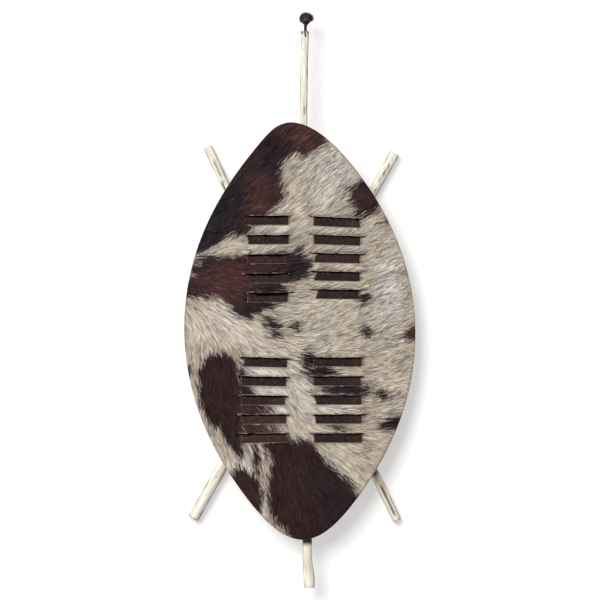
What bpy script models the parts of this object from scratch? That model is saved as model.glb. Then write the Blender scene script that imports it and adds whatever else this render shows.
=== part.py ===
"""A hide shield lying on its back: laced cowhide, a staff behind it, two crossed sticks and a fur tuft.

The shield's face points up, +Z, and its staff runs along Y with the tuft at the +Y end. Metres throughout.
"""

import math

import bmesh
import bpy
from mathutils import Matrix, Vector

# Gaps that keep neighbouring solids apart
GAP = 0.0003
ROUND_GAP = 0.0005  # round a stick, where the faceted wrap cuts the corner

# The hide
HIDE_LENGTH = 0.668
HIDE_WIDTH = 0.3705
HIDE_THICKNESS = 0.003
HIDE_CENTRE_Y = -0.050
FLANK_POWER = 1.54  # how full the flanks are: 1 is an ellipse, more is a leaf
TIP_ROUNDING = 0.36
TIP_ROUNDING_REACH = 6
LEAN = 0.0045  # how far the outline's middle drifts across, from the centre to each tip
TOP_LEAN = 0.0095  # and how much more at the top tip
TOP_LEAN_REACH = 6
SHOULDER_FALL = 0.0055  # how far the left shoulder is cut inside the even outline
SHOULDER_REACH = 6.25
EDGE_DROP = 0.016  # how far the flanks fall away from the staff
OUTLINE_POINTS = 88
SHEET_CELL = 0.040

# The lacing: a flat strip in each column, woven through pairs of slits
BAR_COUNT = 5
BAR_HEIGHT = 0.0130
SLIT_GAP = 0.0010
SLIT_OVERRUN = 0.009
STRIP_THICKNESS = 0.0015
STRIP_TAIL = 0.016
LAND_FADE = 0.030  # how far beyond the end slits the hide still stands forward
COLUMNS = {
    "lacing_strip_upper_left": dict(x=-0.0508, width=0.0656, top_y=0.1270, pitch=0.0308, tilts=(0.0, 0.01)),
    "lacing_strip_upper_right": dict(x=0.0590, width=0.0744, top_y=0.1240, pitch=0.0288, tilts=(-0.05, -0.01)),
    "lacing_strip_lower_left": dict(x=-0.0576, width=0.0728, top_y=-0.1000, pitch=0.0303, tilts=(-0.035, 0.025)),
    "lacing_strip_lower_right": dict(x=0.0604, width=0.0768, top_y=-0.0995, pitch=0.0304, tilts=(0.0, 0.0)),
}

# The staff, thin at its head and thick at its foot
STAFF_HEAD_Y = 0.430
STAFF_FOOT_Y = -0.461
STAFF_FOOT_LENGTH = 0.012  # the last stretch runs straight, so that the foot is square to Y
STAFF_HEAD_RADIUS = 0.0063
STAFF_WAIST_RADIUS = 0.0060
STAFF_MIDDLE_RADIUS = 0.0067
STAFF_LOWER_RADIUS = 0.0074
STAFF_FOOT_RADIUS = 0.0091
STAFF_WAY = (  # y, x and radius
    (STAFF_HEAD_Y, 0.0084, STAFF_HEAD_RADIUS),
    (0.281, 0.0062, STAFF_WAIST_RADIUS),
    (-0.044, 0.0092, STAFF_MIDDLE_RADIUS),
    (-0.384, 0.0118, STAFF_LOWER_RADIUS),
    (STAFF_FOOT_Y + STAFF_FOOT_LENGTH, 0.0152, STAFF_FOOT_RADIUS),
)
STAFF_STEPS = 4

# The crossed sticks, each from its upper end to its lower end
STICK_POINTS = 13
LEFT_STICK = dict(top=(-0.1478, 0.2449), foot=(0.1566, -0.3547), top_radius=0.0071, foot_radius=0.0071)
RIGHT_STICK = dict(top=(0.1527, 0.2356), foot=(-0.1713, -0.3516), top_radius=0.0079, foot_radius=0.0090)
LEFT_STICK_SWAY = 0.04  # an S bend, as a share of its run across
RIGHT_STICK_SWAY = -0.01
STICK_SIDES = 4  # bevel resolution: 12 sides

# The rawhide lashing round the three sticks
LASHING_Y = -0.044
LASHING_TURNS = 3
THONG_WIDTH = 0.0050
THONG_THICKNESS = 0.0015
THONG_PITCH = THONG_WIDTH + 0.0007
FLOOR_CLEARANCE = 0.0005
LASHING_CORNER = 0.0016  # hull points nearer than this are one

# The rawhide loops that hold the staff to the back of the hide
UPPER_LOOP_INSET = 0.069  # from the hide's upper tip
LOWER_LOOP_INSET = 0.066  # from its lower tip
LOOP_PLACES = {
    "staff_loop_upper": HIDE_CENTRE_Y + HIDE_LENGTH / 2 - UPPER_LOOP_INSET,
    "staff_loop_lower": HIDE_CENTRE_Y - HIDE_LENGTH / 2 + LOWER_LOOP_INSET,
}
LOOP_WIDTH = 0.018
LOOP_THICKNESS = 0.0020
LOOP_TAB = 0.030
LOOP_RISE = math.radians(28)  # how far round the staff the loop hugs it, above its middle
LOOP_FACETS = 10

# The fur tuft, held in the staff's split head
TUFT_RADIUS = 0.0115
TUFT_NECK_RADIUS = 0.0023
TUFT_NECK_LENGTH = 0.0050
TUFT_FLARE_LENGTH = 0.0085
TUFT_CAP_HEIGHT = 0.0175
TUFT_LIP = 0.0012  # the step in from the cap's underside to the flare
TUFT_STEPS = 20
TUFT_SHIFT = 0.0018
SPLIT_DEPTH = 0.011
SPLIT_WIDTH = 0.0042
SPLIT_SLANT = 0.0012
SPLIT_POINT = 0.0008  # the split's width where it ends

HAIR_BROWN = (0.055, 0.030, 0.028, 1)
HIDE_CREAM = (0.62, 0.56, 0.47, 1)
STRIP_BROWN = (0.050, 0.026, 0.022, 1)
PEELED_WOOD = (0.78, 0.72, 0.58, 1)
RAWHIDE_TAN = (0.52, 0.39, 0.24, 1)


def smooth(share):
    """A share from 0 to 1, eased at both ends."""
    share = min(1.0, max(0.0, share))
    return share * share * (3 - 2 * share)


def through(way, steps):
    """Points on a smooth curve that passes through the way's own points, with steps between each two."""
    points = [Vector(p) for p in way]
    ends = [2 * points[0] - points[1]] + points + [2 * points[-1] - points[-2]]
    curve = []
    for before, start, end, after in zip(ends, ends[1:], ends[2:], ends[3:]):
        for step in range(steps):
            t = step / steps
            curve.append(
                0.5 * (2 * start + (end - before) * t
                       + (2 * before - 5 * start + 4 * end - after) * t ** 2
                       + (3 * start - 3 * end + after - before) * t ** 3)
            )
    return curve + [points[-1]]


def staff_way():
    """The staff's centre line as (y, x, radius), from its head to its foot."""
    line = through(STAFF_WAY, STAFF_STEPS)
    foot = line[-1]
    return line + [Vector((STAFF_FOOT_Y, foot.y, foot.z))]


def staff_at(y):
    """The staff's (x, radius) at a place along it."""
    line = staff_way()
    for upper, lower in zip(line, line[1:]):
        if lower.x <= y <= upper.x:
            share = (upper.x - y) / (upper.x - lower.x)
            place = upper.lerp(lower, share)
            return place.y, place.z
    return line[0].y, line[0].z


def mid_radius(stick):
    return (stick["top_radius"] + stick["foot_radius"]) / 2


# Heights at the crossing, stacked from the floor up: lashing, right stick, left stick, staff
RIGHT_STICK_Z = FLOOR_CLEARANCE + THONG_THICKNESS + ROUND_GAP + mid_radius(RIGHT_STICK)
LEFT_STICK_Z = RIGHT_STICK_Z + mid_radius(RIGHT_STICK) + ROUND_GAP + mid_radius(LEFT_STICK)
STAFF_TOP_Z = LEFT_STICK_Z + mid_radius(LEFT_STICK) + ROUND_GAP + 2 * staff_at(LASHING_Y)[1]
SHEET_Z = STAFF_TOP_Z + GAP + HIDE_THICKNESS / 2
SPINE_X = staff_at(HIDE_CENTRE_Y)[0]
# The hide arches over the lashing, and lies on the staff where the loops hold it
SPINE_ARCH = THONG_THICKNESS + 2 * ROUND_GAP
ARCH_REACH = 0.270
# A land stands this far in front of the strip or behind it
LAND_SHIFT = HIDE_THICKNESS / 2 + STRIP_THICKNESS / 2 + GAP


def hide_level(x, y):
    """The height of the hide's middle layer, before the lands between its slits are pushed out."""
    along = min(1.0, abs(y - LASHING_Y) / ARCH_REACH)
    across = (x - SPINE_X) / (HIDE_WIDTH / 2)
    return SHEET_Z + SPINE_ARCH * (1 - along ** 2) ** 2 - EDGE_DROP * across ** 2


def bar_rows(column):
    """The middle of each visible bar of a column, top to bottom."""
    return [column["top_y"] - row * column["pitch"] for row in range(BAR_COUNT)]


def slit_half(column):
    return column["width"] / 2 + SLIT_OVERRUN


def lacing_span(column):
    """The lowest and highest slit edge of a column."""
    rows = bar_rows(column)
    reach = BAR_HEIGHT / 2 + SLIT_GAP
    return rows[-1] - reach, rows[0] + reach


def in_lacing(column, place):
    """Whether a place is among a column's slits or in the fade beyond them."""
    low, high = lacing_span(column)
    return abs(place.x - column["x"]) < slit_half(column) and low - LAND_FADE < place.y < high + LAND_FADE


def beyond_lacing(column, y):
    """How much of the forward push is left at y, from 1 in the lacing to 0 a fade beyond it."""
    low, high = lacing_span(column)
    return 1 - smooth(max(low - y, y - high, 0.0) / LAND_FADE)


def land_shift(x, y):
    """How far the weave pushes the hide forward, or back where a strip lies over it."""
    for column in COLUMNS.values():
        inner = column["width"] / 2 + GAP
        across = 1 - smooth((abs(x - column["x"]) - inner) / (slit_half(column) - inner))
        if across <= 0 or beyond_lacing(column, y) <= 0:
            continue
        under = any(abs(y - row) < (BAR_HEIGHT + SLIT_GAP) / 2 for row in bar_rows(column))
        return across * LAND_SHIFT * (-1 if under else beyond_lacing(column, y))
    return 0.0


def tilt_shift(x, y):
    """How far a hand-cut slit at (x, y) runs off level, along Y."""
    shift = 0.0
    for column in COLUMNS.values():
        low, high = lacing_span(column)
        down = min(1.0, max(0.0, (high - y) / (high - low)))
        slope = column["tilts"][0] * (1 - down) + column["tilts"][1] * down
        half = slit_half(column)
        reach = x - column["x"]
        held = max(-half, min(half, reach))
        fade = 1 - smooth((abs(reach) - half) / SLIT_OVERRUN)
        shift += slope * held * fade * beyond_lacing(column, y)
    return shift


def outline_point(turn):
    """A point of the hide's outline, turn being the angle from +X round its middle."""
    rise = math.sin(turn)
    fullness = abs(math.cos(turn)) ** (FLANK_POWER - TIP_ROUNDING * abs(rise) ** TIP_ROUNDING_REACH)
    lean = -LEAN * rise - TOP_LEAN * max(0.0, rise) ** TOP_LEAN_REACH
    x = lean + math.copysign(fullness, math.cos(turn)) * HIDE_WIDTH / 2
    if math.cos(turn) < 0:
        x += SHOULDER_FALL * math.sin(math.pi * max(0.0, rise) ** SHOULDER_REACH)
    return Vector((x, HIDE_CENTRE_Y + rise * HIDE_LENGTH / 2, 0))


def material(name, colour, roughness):
    """A plain finish of one colour."""
    finish = bpy.data.materials.new(name)
    finish.use_nodes = True
    shader = finish.node_tree.nodes["Principled BSDF"]
    shader.inputs["Base Color"].default_value = colour
    shader.inputs["Roughness"].default_value = roughness
    shader.inputs["Metallic"].default_value = 0.0
    finish.diffuse_color = colour
    return finish


def add_object(name, data, collection, finish=None):
    """Links a new object of the data, with its finish."""
    placed = bpy.data.objects.new(name, data)
    collection.objects.link(placed)
    if finish:
        data.materials.append(finish)
    return placed


def mesh_from(bm, name):
    """A mesh of the bmesh, with its faces pointing out."""
    bmesh.ops.recalc_face_normals(bm, faces=bm.faces)
    mesh = bpy.data.meshes.new(name)
    bm.to_mesh(mesh)
    bm.free()
    return mesh


def slice_at(bm, axis, place, inside=None):
    """Cuts the faces whose middle is inside, across one axis at a place."""
    faces = [f for f in bm.faces if inside is None or inside(f.calc_center_median())]
    parts = set(faces)
    for face in faces:
        parts.update(face.edges)
        parts.update(face.verts)
    normal = [0, 0, 0]
    normal[axis] = 1
    point = [0, 0, 0]
    point[axis] = place
    bmesh.ops.bisect_plane(bm, geom=list(parts), dist=1e-6, plane_co=point, plane_no=normal)


def evenly(low, high, spacing):
    """Places between low and high, about a spacing apart, without the two ends."""
    count = max(1, round((high - low) / spacing))
    return [low + (high - low) * step / count for step in range(1, count)]


def cut_lacing_rows(bm, column):
    """Cuts one column's slits into the flat sheet, and the rows and files that let its lands bulge."""
    low, high = lacing_span(column)
    half = slit_half(column)
    inner = column["width"] / 2 + GAP

    def in_column(centre):
        return in_lacing(column, centre)

    for side in (-1, 1):
        for reach in (column["width"] / 4, inner, (inner + half) / 2):
            slice_at(bm, 0, column["x"] + side * reach, in_column)
    slice_at(bm, 0, column["x"], in_column)
    for fade in (LAND_FADE / 3, LAND_FADE * 2 / 3):
        slice_at(bm, 1, low - fade, in_column)
        slice_at(bm, 1, high + fade, in_column)
    slits = []
    for row in bar_rows(column):
        for side in (-1, 1):
            near = row + side * BAR_HEIGHT / 2
            far = near + side * SLIT_GAP
            slice_at(bm, 1, near, in_column)
            slice_at(bm, 1, far, in_column)
            slits.append((near + far) / 2)
    doomed = [
        f for f in bm.faces
        for centre in [f.calc_center_median()]
        if abs(centre.x - column["x"]) < half and any(abs(centre.y - slit) < SLIT_GAP / 2 for slit in slits)
    ]
    bmesh.ops.delete(bm, geom=doomed, context="FACES")


def build_hide(collection, finish):
    """The hide: one sheet with slits, domed over the staff, its lands woven before and behind the strips."""
    bm = bmesh.new()
    bmesh.ops.create_circle(bm, cap_ends=True, segments=OUTLINE_POINTS, radius=1)
    bm.verts.ensure_lookup_table()
    for vertex in bm.verts:
        vertex.co = outline_point(math.atan2(vertex.co.y, vertex.co.x))
    top = HIDE_CENTRE_Y + HIDE_LENGTH / 2
    for y in evenly(top - HIDE_LENGTH, top, SHEET_CELL):
        slice_at(bm, 1, y)
    for column in COLUMNS.values():
        low, high = lacing_span(column)

        def beside(centre, low=low, high=high):
            return low - SHEET_CELL - LAND_FADE < centre.y < high + SHEET_CELL + LAND_FADE

        for side in (-1, 1):
            slice_at(bm, 0, column["x"] + side * slit_half(column), beside)
        for y in (low - LAND_FADE, high + LAND_FADE):
            slice_at(bm, 1, y, lambda centre, x=column["x"], h=slit_half(column): abs(centre.x - x) < h)
    for x in evenly(-HIDE_WIDTH / 2, HIDE_WIDTH / 2, SHEET_CELL):
        slice_at(bm, 0, x, lambda centre: not any(in_lacing(column, centre) for column in COLUMNS.values()))
    for column in COLUMNS.values():
        cut_lacing_rows(bm, column)
    bmesh.ops.triangulate(bm, faces=bm.faces)
    front = bmesh.ops.extrude_face_region(bm, geom=list(bm.faces))["geom"]
    lifted = [part for part in front if isinstance(part, bmesh.types.BMVert)]
    bmesh.ops.translate(bm, verts=lifted, vec=(0, 0, HIDE_THICKNESS))
    for vertex in bm.verts:
        x, y, layer = vertex.co
        vertex.co = (x, y + tilt_shift(x, y), layer - HIDE_THICKNESS / 2 + hide_level(x, y) + land_shift(x, y))
    add_object("cowhide", mesh_from(bm, "cowhide"), collection, finish)


def build_strip(name, column, collection, finish):
    """A lacing strip: flat through the weave, its two tails lying back against the hide."""
    low, high = lacing_span(column)
    bottom, top = low - STRIP_TAIL, high + STRIP_TAIL
    bm = bmesh.new()
    bmesh.ops.create_cube(bm, size=1)
    size = Vector((column["width"], top - bottom, STRIP_THICKNESS))
    bmesh.ops.scale(bm, vec=size, verts=bm.verts)
    bmesh.ops.translate(bm, vec=(column["x"], (top + bottom) / 2, 0), verts=bm.verts)
    for x in evenly(column["x"] - column["width"] / 2, column["x"] + column["width"] / 2, column["width"] / 4):
        slice_at(bm, 0, x)
    for y in (low - LAND_FADE / 3, low, high, high + LAND_FADE / 3):
        slice_at(bm, 1, y)
    for y in evenly(low, high, column["pitch"] / 2):
        slice_at(bm, 1, y)
    bmesh.ops.triangulate(bm, faces=bm.faces)
    for vertex in bm.verts:
        x, y, layer = vertex.co
        back = LAND_SHIFT * (beyond_lacing(column, y) - 1)
        vertex.co = (x, y + tilt_shift(x, y), layer + hide_level(x, y) + back)
    add_object(name, mesh_from(bm, name), collection, finish)


def rod_curve(name, points, radii, collection):
    """A round rod along the points, with its own radius at each."""
    curve = bpy.data.curves.new(name, "CURVE")
    curve.dimensions = "3D"
    curve.twist_mode = "Z_UP"
    curve.bevel_depth = 1.0
    curve.bevel_resolution = STICK_SIDES
    curve.use_fill_caps = True
    spline = curve.splines.new("POLY")
    spline.points.add(len(points) - 1)
    for knot, point, radius in zip(spline.points, points, radii):
        knot.co = (*point, 1)
        knot.radius = radius
    return add_object(name, curve, collection)


def as_mesh(curve_object, collection, finish):
    """The curve object made a mesh with its caps welded, under the same name."""
    name = curve_object.name
    evaluated = curve_object.evaluated_get(bpy.context.evaluated_depsgraph_get())
    mesh = bpy.data.meshes.new_from_object(evaluated)
    place = curve_object.matrix_world.copy()
    bpy.data.objects.remove(curve_object)
    bm = bmesh.new()
    bm.from_mesh(mesh)
    bmesh.ops.remove_doubles(bm, verts=bm.verts, dist=1e-6)
    bmesh.ops.recalc_face_normals(bm, faces=bm.faces)
    bm.to_mesh(mesh)
    bm.free()
    mesh.materials.clear()
    rod = add_object(name, mesh, collection, finish)
    rod.matrix_world = place
    mesh.shade_smooth()
    mesh.set_sharp_from_angle(angle=math.radians(40))
    return rod


def wedge(name, collection, clearance, half_depth):
    """The tapered block that fits the split in the staff's head, grown by a clearance all round."""
    head_x = STAFF_WAY[0][1] + TUFT_SHIFT
    z = STAFF_TOP_Z - STAFF_HEAD_RADIUS
    over = TUFT_NECK_LENGTH / 2
    corners = []
    for share, y in ((0.0, STAFF_HEAD_Y), (1.0, STAFF_HEAD_Y - SPLIT_DEPTH)):
        half = (SPLIT_WIDTH * (1 - share) + SPLIT_POINT * share) / 2 + clearance
        corners.append((head_x + SPLIT_SLANT * share, y - clearance * share, half))
    (top_x, top_y, top_half), (point_x, point_y, point_half) = corners
    bm = bmesh.new()
    bmesh.ops.create_cube(bm, size=2)
    for vertex in bm.verts:
        upper = vertex.co.y > 0
        x = (top_x if upper else point_x) + vertex.co.x * (top_half if upper else point_half)
        y = top_y + over if upper else point_y
        vertex.co = (x, y, z + vertex.co.z * half_depth)
    return add_object(name, mesh_from(bm, name), collection)


def join_or_cut(target, tool, operation):
    """An exact Boolean modifier with a guide that isn't itself a piece."""
    tool.hide_render = True
    tool.display_type = "WIRE"
    modifier = target.modifiers.new(operation.title(), "BOOLEAN")
    modifier.operation = operation
    modifier.object = tool


def build_staff(collection, cutters, finish):
    """The staff: a peeled stick that thickens to its foot, with a split in its head."""
    line = staff_way()
    points = [Vector((x, y, STAFF_TOP_Z - radius)) for y, x, radius in line]
    curve = rod_curve("staff", points, [radius for _, _, radius in line], collection)
    staff = as_mesh(curve, collection, finish)
    cutter = wedge("staff_split", cutters, GAP, STAFF_HEAD_RADIUS * 2)
    join_or_cut(staff, cutter, "DIFFERENCE")


def stick_axis(stick, sway, middle_z, share):
    """A crossed stick's centre and radius, share running from -1 at its top end to 1 at its foot."""
    along = (1 + share) / 2
    top, foot = stick["top"], stick["foot"]
    swayed = along + sway * (share - share ** 3) / 2
    radius = stick["top_radius"] * (1 - along) + stick["foot_radius"] * along
    end_z = stick["top_radius"] if share < 0 else stick["foot_radius"]
    z = middle_z + (end_z - middle_z) * share ** 2
    x = top[0] + (foot[0] - top[0]) * swayed
    y = top[1] + (foot[1] - top[1]) * along
    return Vector((x, y, z)), radius


def build_crossed_stick(name, stick, sway, middle_z, collection, finish):
    """A crossed stick, bowed so that both its ends stand on the floor."""
    shares = [-1 + 2 * step / (STICK_POINTS - 1) for step in range(STICK_POINTS)]
    places = [stick_axis(stick, sway, middle_z, share) for share in shares]
    curve = rod_curve(name, [p for p, _ in places], [r for _, r in places], collection)
    as_mesh(curve, collection, finish)


def hull(points):
    """The corners of the tightest loop round points in a plane, anticlockwise."""
    ordered = sorted(set(points))

    def chain(run):
        kept = []
        for point in run:
            while len(kept) > 1 and (
                (kept[-1][0] - kept[-2][0]) * (point[1] - kept[-2][1])
                - (kept[-1][1] - kept[-2][1]) * (point[0] - kept[-2][0])
            ) <= 0:
                kept.pop()
            kept.append(point)
        return kept[:-1]

    return chain(ordered) + chain(ordered[::-1])


def lashing_loop():
    """One tight turn of the thong round the three sticks, as (x, z) points seen along the staff."""
    reach = (LASHING_TURNS * THONG_PITCH + THONG_WIDTH) / 2
    wrap = ROUND_GAP + THONG_THICKNESS / 2
    rounds = []
    for offset in (-reach, 0.0, reach):
        y = LASHING_Y + offset
        x, radius = staff_at(y)
        rounds.append((x, STAFF_TOP_Z - radius, radius, radius))
        for stick, sway, middle_z in (
            (LEFT_STICK, LEFT_STICK_SWAY, LEFT_STICK_Z),
            (RIGHT_STICK, RIGHT_STICK_SWAY, RIGHT_STICK_Z),
        ):
            run = Vector(stick["foot"]) - Vector(stick["top"])
            centre, radius = stick_axis(stick, sway, middle_z, 2 * (y - stick["top"][1]) / run.y - 1)
            rounds.append((centre.x, centre.z, radius * run.length / abs(run.y), radius))
    turns = [math.tau * step / 16 for step in range(16)]
    points = [
        (x + (across + wrap) * math.cos(turn), z + (tall + wrap) * math.sin(turn))
        for x, z, across, tall in rounds
        for turn in turns
    ]
    loop = []
    for point in hull(points):
        if not loop or math.dist(point, loop[-1]) > LASHING_CORNER:
            loop.append(point)
    return loop


def ribbon(name, path, width, thickness, collection, finish):
    """A flat thong of even thickness that follows the path, its width along Y."""
    bm = bmesh.new()
    verts = [bm.verts.new((x, y - width / 2, z)) for x, y, z in path]
    edges = [bm.edges.new(pair) for pair in zip(verts, verts[1:])]
    swept = bmesh.ops.extrude_edge_only(bm, edges=edges)["geom"]
    bmesh.ops.translate(bm, vec=(0, width, 0), verts=[v for v in swept if isinstance(v, bmesh.types.BMVert)])
    mesh = mesh_from(bm, name)
    thong = add_object(name, mesh, collection, finish)
    shell = thong.modifiers.new("Thickness", "SOLIDIFY")
    shell.thickness = thickness
    shell.offset = 0
    shell.use_even_offset = True


def build_lashing(collection, finish):
    """The lashing: a thong that winds round the staff and both crossed sticks."""
    loop = lashing_loop()
    count = len(loop)
    path = []
    for step in range(LASHING_TURNS * count + 1):
        x, z = loop[step % count]
        y = LASHING_Y + THONG_PITCH * (step / count - LASHING_TURNS / 2)
        path.append((x, y, z))
    ribbon("crossing_lashing", path, THONG_WIDTH, THONG_THICKNESS, collection, finish)


def build_loop(name, y, collection, finish):
    """A rawhide loop: it passes behind the staff, and its two tabs lie flat on the back of the hide."""
    centre_x, staff_radius = staff_at(y)
    centre_z = STAFF_TOP_Z - staff_radius
    hug = staff_radius + ROUND_GAP + LOOP_THICKNESS / 2
    back = HIDE_THICKNESS / 2 + GAP + LOOP_THICKNESS / 2

    def tab(reach):
        x = centre_x + reach
        return (x, y, min(hide_level(x, y + side) for side in (-LOOP_WIDTH / 2, 0, LOOP_WIDTH / 2)) - back)

    path = [tab(-hug - LOOP_TAB), tab(-hug - LOOP_TAB / 2), tab(-hug - LOOP_THICKNESS)]
    start, end = math.pi - LOOP_RISE, math.tau + LOOP_RISE
    for step in range(LOOP_FACETS + 1):
        turn = start + (end - start) * step / LOOP_FACETS
        path.append((centre_x + hug * math.cos(turn), y, centre_z + hug * math.sin(turn)))
    path += [tab(hug + LOOP_THICKNESS), tab(hug + LOOP_TAB / 2), tab(hug + LOOP_TAB)]
    ribbon(name, path, LOOP_WIDTH, LOOP_THICKNESS, collection, finish)


def tuft_profile():
    """Half the tuft's outline, from the top of its cap down to the end of its neck."""
    cap_base = TUFT_NECK_LENGTH + TUFT_FLARE_LENGTH
    belly = cap_base + TUFT_CAP_HEIGHT * 0.30
    profile = [(0.0, cap_base + TUFT_CAP_HEIGHT)]
    for step in range(1, 6):
        turn = math.pi / 2 * step / 5
        profile.append((TUFT_RADIUS * math.sin(turn), belly + (cap_base + TUFT_CAP_HEIGHT - belly) * math.cos(turn)))
    profile.append((TUFT_RADIUS * 0.93, cap_base))
    for step in range(1, 4):
        share = step / 3
        radius = TUFT_NECK_RADIUS + (TUFT_RADIUS * 0.55 - TUFT_NECK_RADIUS) * (1 - share) ** 2
        profile.append((radius, cap_base - TUFT_LIP - (TUFT_FLARE_LENGTH - TUFT_LIP) * share))
    profile += [(TUFT_NECK_RADIUS, GAP), (0.0, GAP)]
    return profile


def build_tuft(collection, cutters, finish):
    """The fur tuft: a turned cap on a narrow neck, with a flat tail that fills the staff's split."""
    profile = tuft_profile()
    bm = bmesh.new()
    verts = [bm.verts.new((radius, 0, height)) for radius, height in profile]
    for pair in zip(verts, verts[1:]):
        bm.edges.new(pair)
    mesh = bpy.data.meshes.new("fur_tuft")
    bm.to_mesh(mesh)
    bm.free()
    tuft = add_object("fur_tuft", mesh, collection, finish)
    head_x = STAFF_WAY[0][1] + TUFT_SHIFT
    place = Matrix.Translation((head_x, STAFF_HEAD_Y, STAFF_TOP_Z - STAFF_HEAD_RADIUS))
    tuft.matrix_world = place @ Matrix.Rotation(math.radians(-90), 4, "X")
    turned = tuft.modifiers.new("Turned", "SCREW")
    turned.steps = turned.render_steps = TUFT_STEPS
    turned.use_merge_vertices = True
    turned.merge_threshold = 0.0001
    tail = wedge("fur_tuft_tail", cutters, 0.0, STAFF_HEAD_RADIUS * 0.8)
    join_or_cut(tuft, tail, "UNION")


def new_collection(name):
    """A collection linked to the scene."""
    collection = bpy.data.collections.new(name)
    bpy.context.scene.collection.children.link(collection)
    return collection


def main():
    """Builds the shield."""
    for old in list(bpy.data.objects):
        bpy.data.objects.remove(old)
    pieces = new_collection("hide_shield")
    cutters = new_collection("hide_shield_guides")
    hide = material("Cowhide", HIDE_CREAM, 0.85)
    strip_hide = material("Dark strip hide", STRIP_BROWN, 0.6)
    wood = material("Peeled wood", PEELED_WOOD, 0.65)
    rawhide = material("Rawhide", RAWHIDE_TAN, 0.7)
    fur = material("Dark fur", HAIR_BROWN, 0.8)
    build_hide(pieces, hide)
    for name, column in COLUMNS.items():
        build_strip(name, column, pieces, strip_hide)
    build_staff(pieces, cutters, wood)
    build_crossed_stick("crossed_stick_left", LEFT_STICK, LEFT_STICK_SWAY, LEFT_STICK_Z, pieces, wood)
    build_crossed_stick("crossed_stick_right", RIGHT_STICK, RIGHT_STICK_SWAY, RIGHT_STICK_Z, pieces, wood)
    build_lashing(pieces, rawhide)
    for name, y in LOOP_PLACES.items():
        build_loop(name, y, pieces, rawhide)
    build_tuft(pieces, cutters, fur)


main()
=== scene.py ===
"""The looks of a laced cowhide shield that lies hair side up on its crossed sticks.

The coat of hair, the woven strips, the peeled branches, the fur tuft and the rawhide that ties them
together are each a class. Sizes are real ones: a number times MM is in millimetres, and every place
is in the shield's own frame, with +Z out of its hair side and +Y towards the tuft.
"""

from __future__ import annotations

import logging
import math
from dataclasses import dataclass, field
from enum import Enum, IntEnum
from typing import Callable

import bmesh
import bpy
import numpy as np
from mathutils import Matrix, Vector
from mathutils.bvhtree import BVHTree


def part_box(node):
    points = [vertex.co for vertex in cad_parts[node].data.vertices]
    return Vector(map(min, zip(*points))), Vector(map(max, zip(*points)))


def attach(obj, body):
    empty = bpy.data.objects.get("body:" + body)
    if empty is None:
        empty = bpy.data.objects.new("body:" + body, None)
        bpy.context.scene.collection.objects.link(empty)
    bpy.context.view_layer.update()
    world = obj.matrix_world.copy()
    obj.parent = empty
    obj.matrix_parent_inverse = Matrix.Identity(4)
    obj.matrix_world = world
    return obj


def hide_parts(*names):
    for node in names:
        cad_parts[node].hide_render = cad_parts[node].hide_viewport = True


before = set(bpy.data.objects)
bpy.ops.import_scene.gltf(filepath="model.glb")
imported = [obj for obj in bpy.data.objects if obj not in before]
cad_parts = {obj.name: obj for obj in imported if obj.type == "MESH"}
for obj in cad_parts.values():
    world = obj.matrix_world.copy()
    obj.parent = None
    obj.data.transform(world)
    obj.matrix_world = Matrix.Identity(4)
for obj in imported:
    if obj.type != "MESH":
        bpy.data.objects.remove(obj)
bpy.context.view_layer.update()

log = logging.getLogger("hide_shield")

MM = 0.001
BODY = "root"
SEED = 7
HAIR_COLOUR = "hair_colour"
SURFACE_COLOUR = "surface_colour"
FLAT = 0.88  # a face whose normal points up or down by more than this share is on a broad side
SHARP = 50.0  # an edge that turns by more than this, in degrees, is a sharp one
CELL_MARGIN = 0.15  # the empty share at each side of a strand's cell in its UV map
GRAIN_MAP = "Grain"
BAKE_MAP = "OFBake"

Colour = tuple[float, float, float]
Scale = tuple[float, float, float]
Range = tuple[float, float]
Socket = bpy.types.NodeSocket
Array = np.ndarray


class Slot(str, Enum):
    """The record's material slots."""

    COWHIDE = "cowhide"
    STRIP = "dark_strip_hide"
    WOOD = "peeled_wood"
    RAWHIDE = "rawhide"
    FUR = "dark_fur"


class Kind(IntEnum):
    """What is on top at a place of the shield, seen from its hair side."""

    NOTHING = 0
    HAIR = 1
    STRIP = 2


# Finishes


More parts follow.
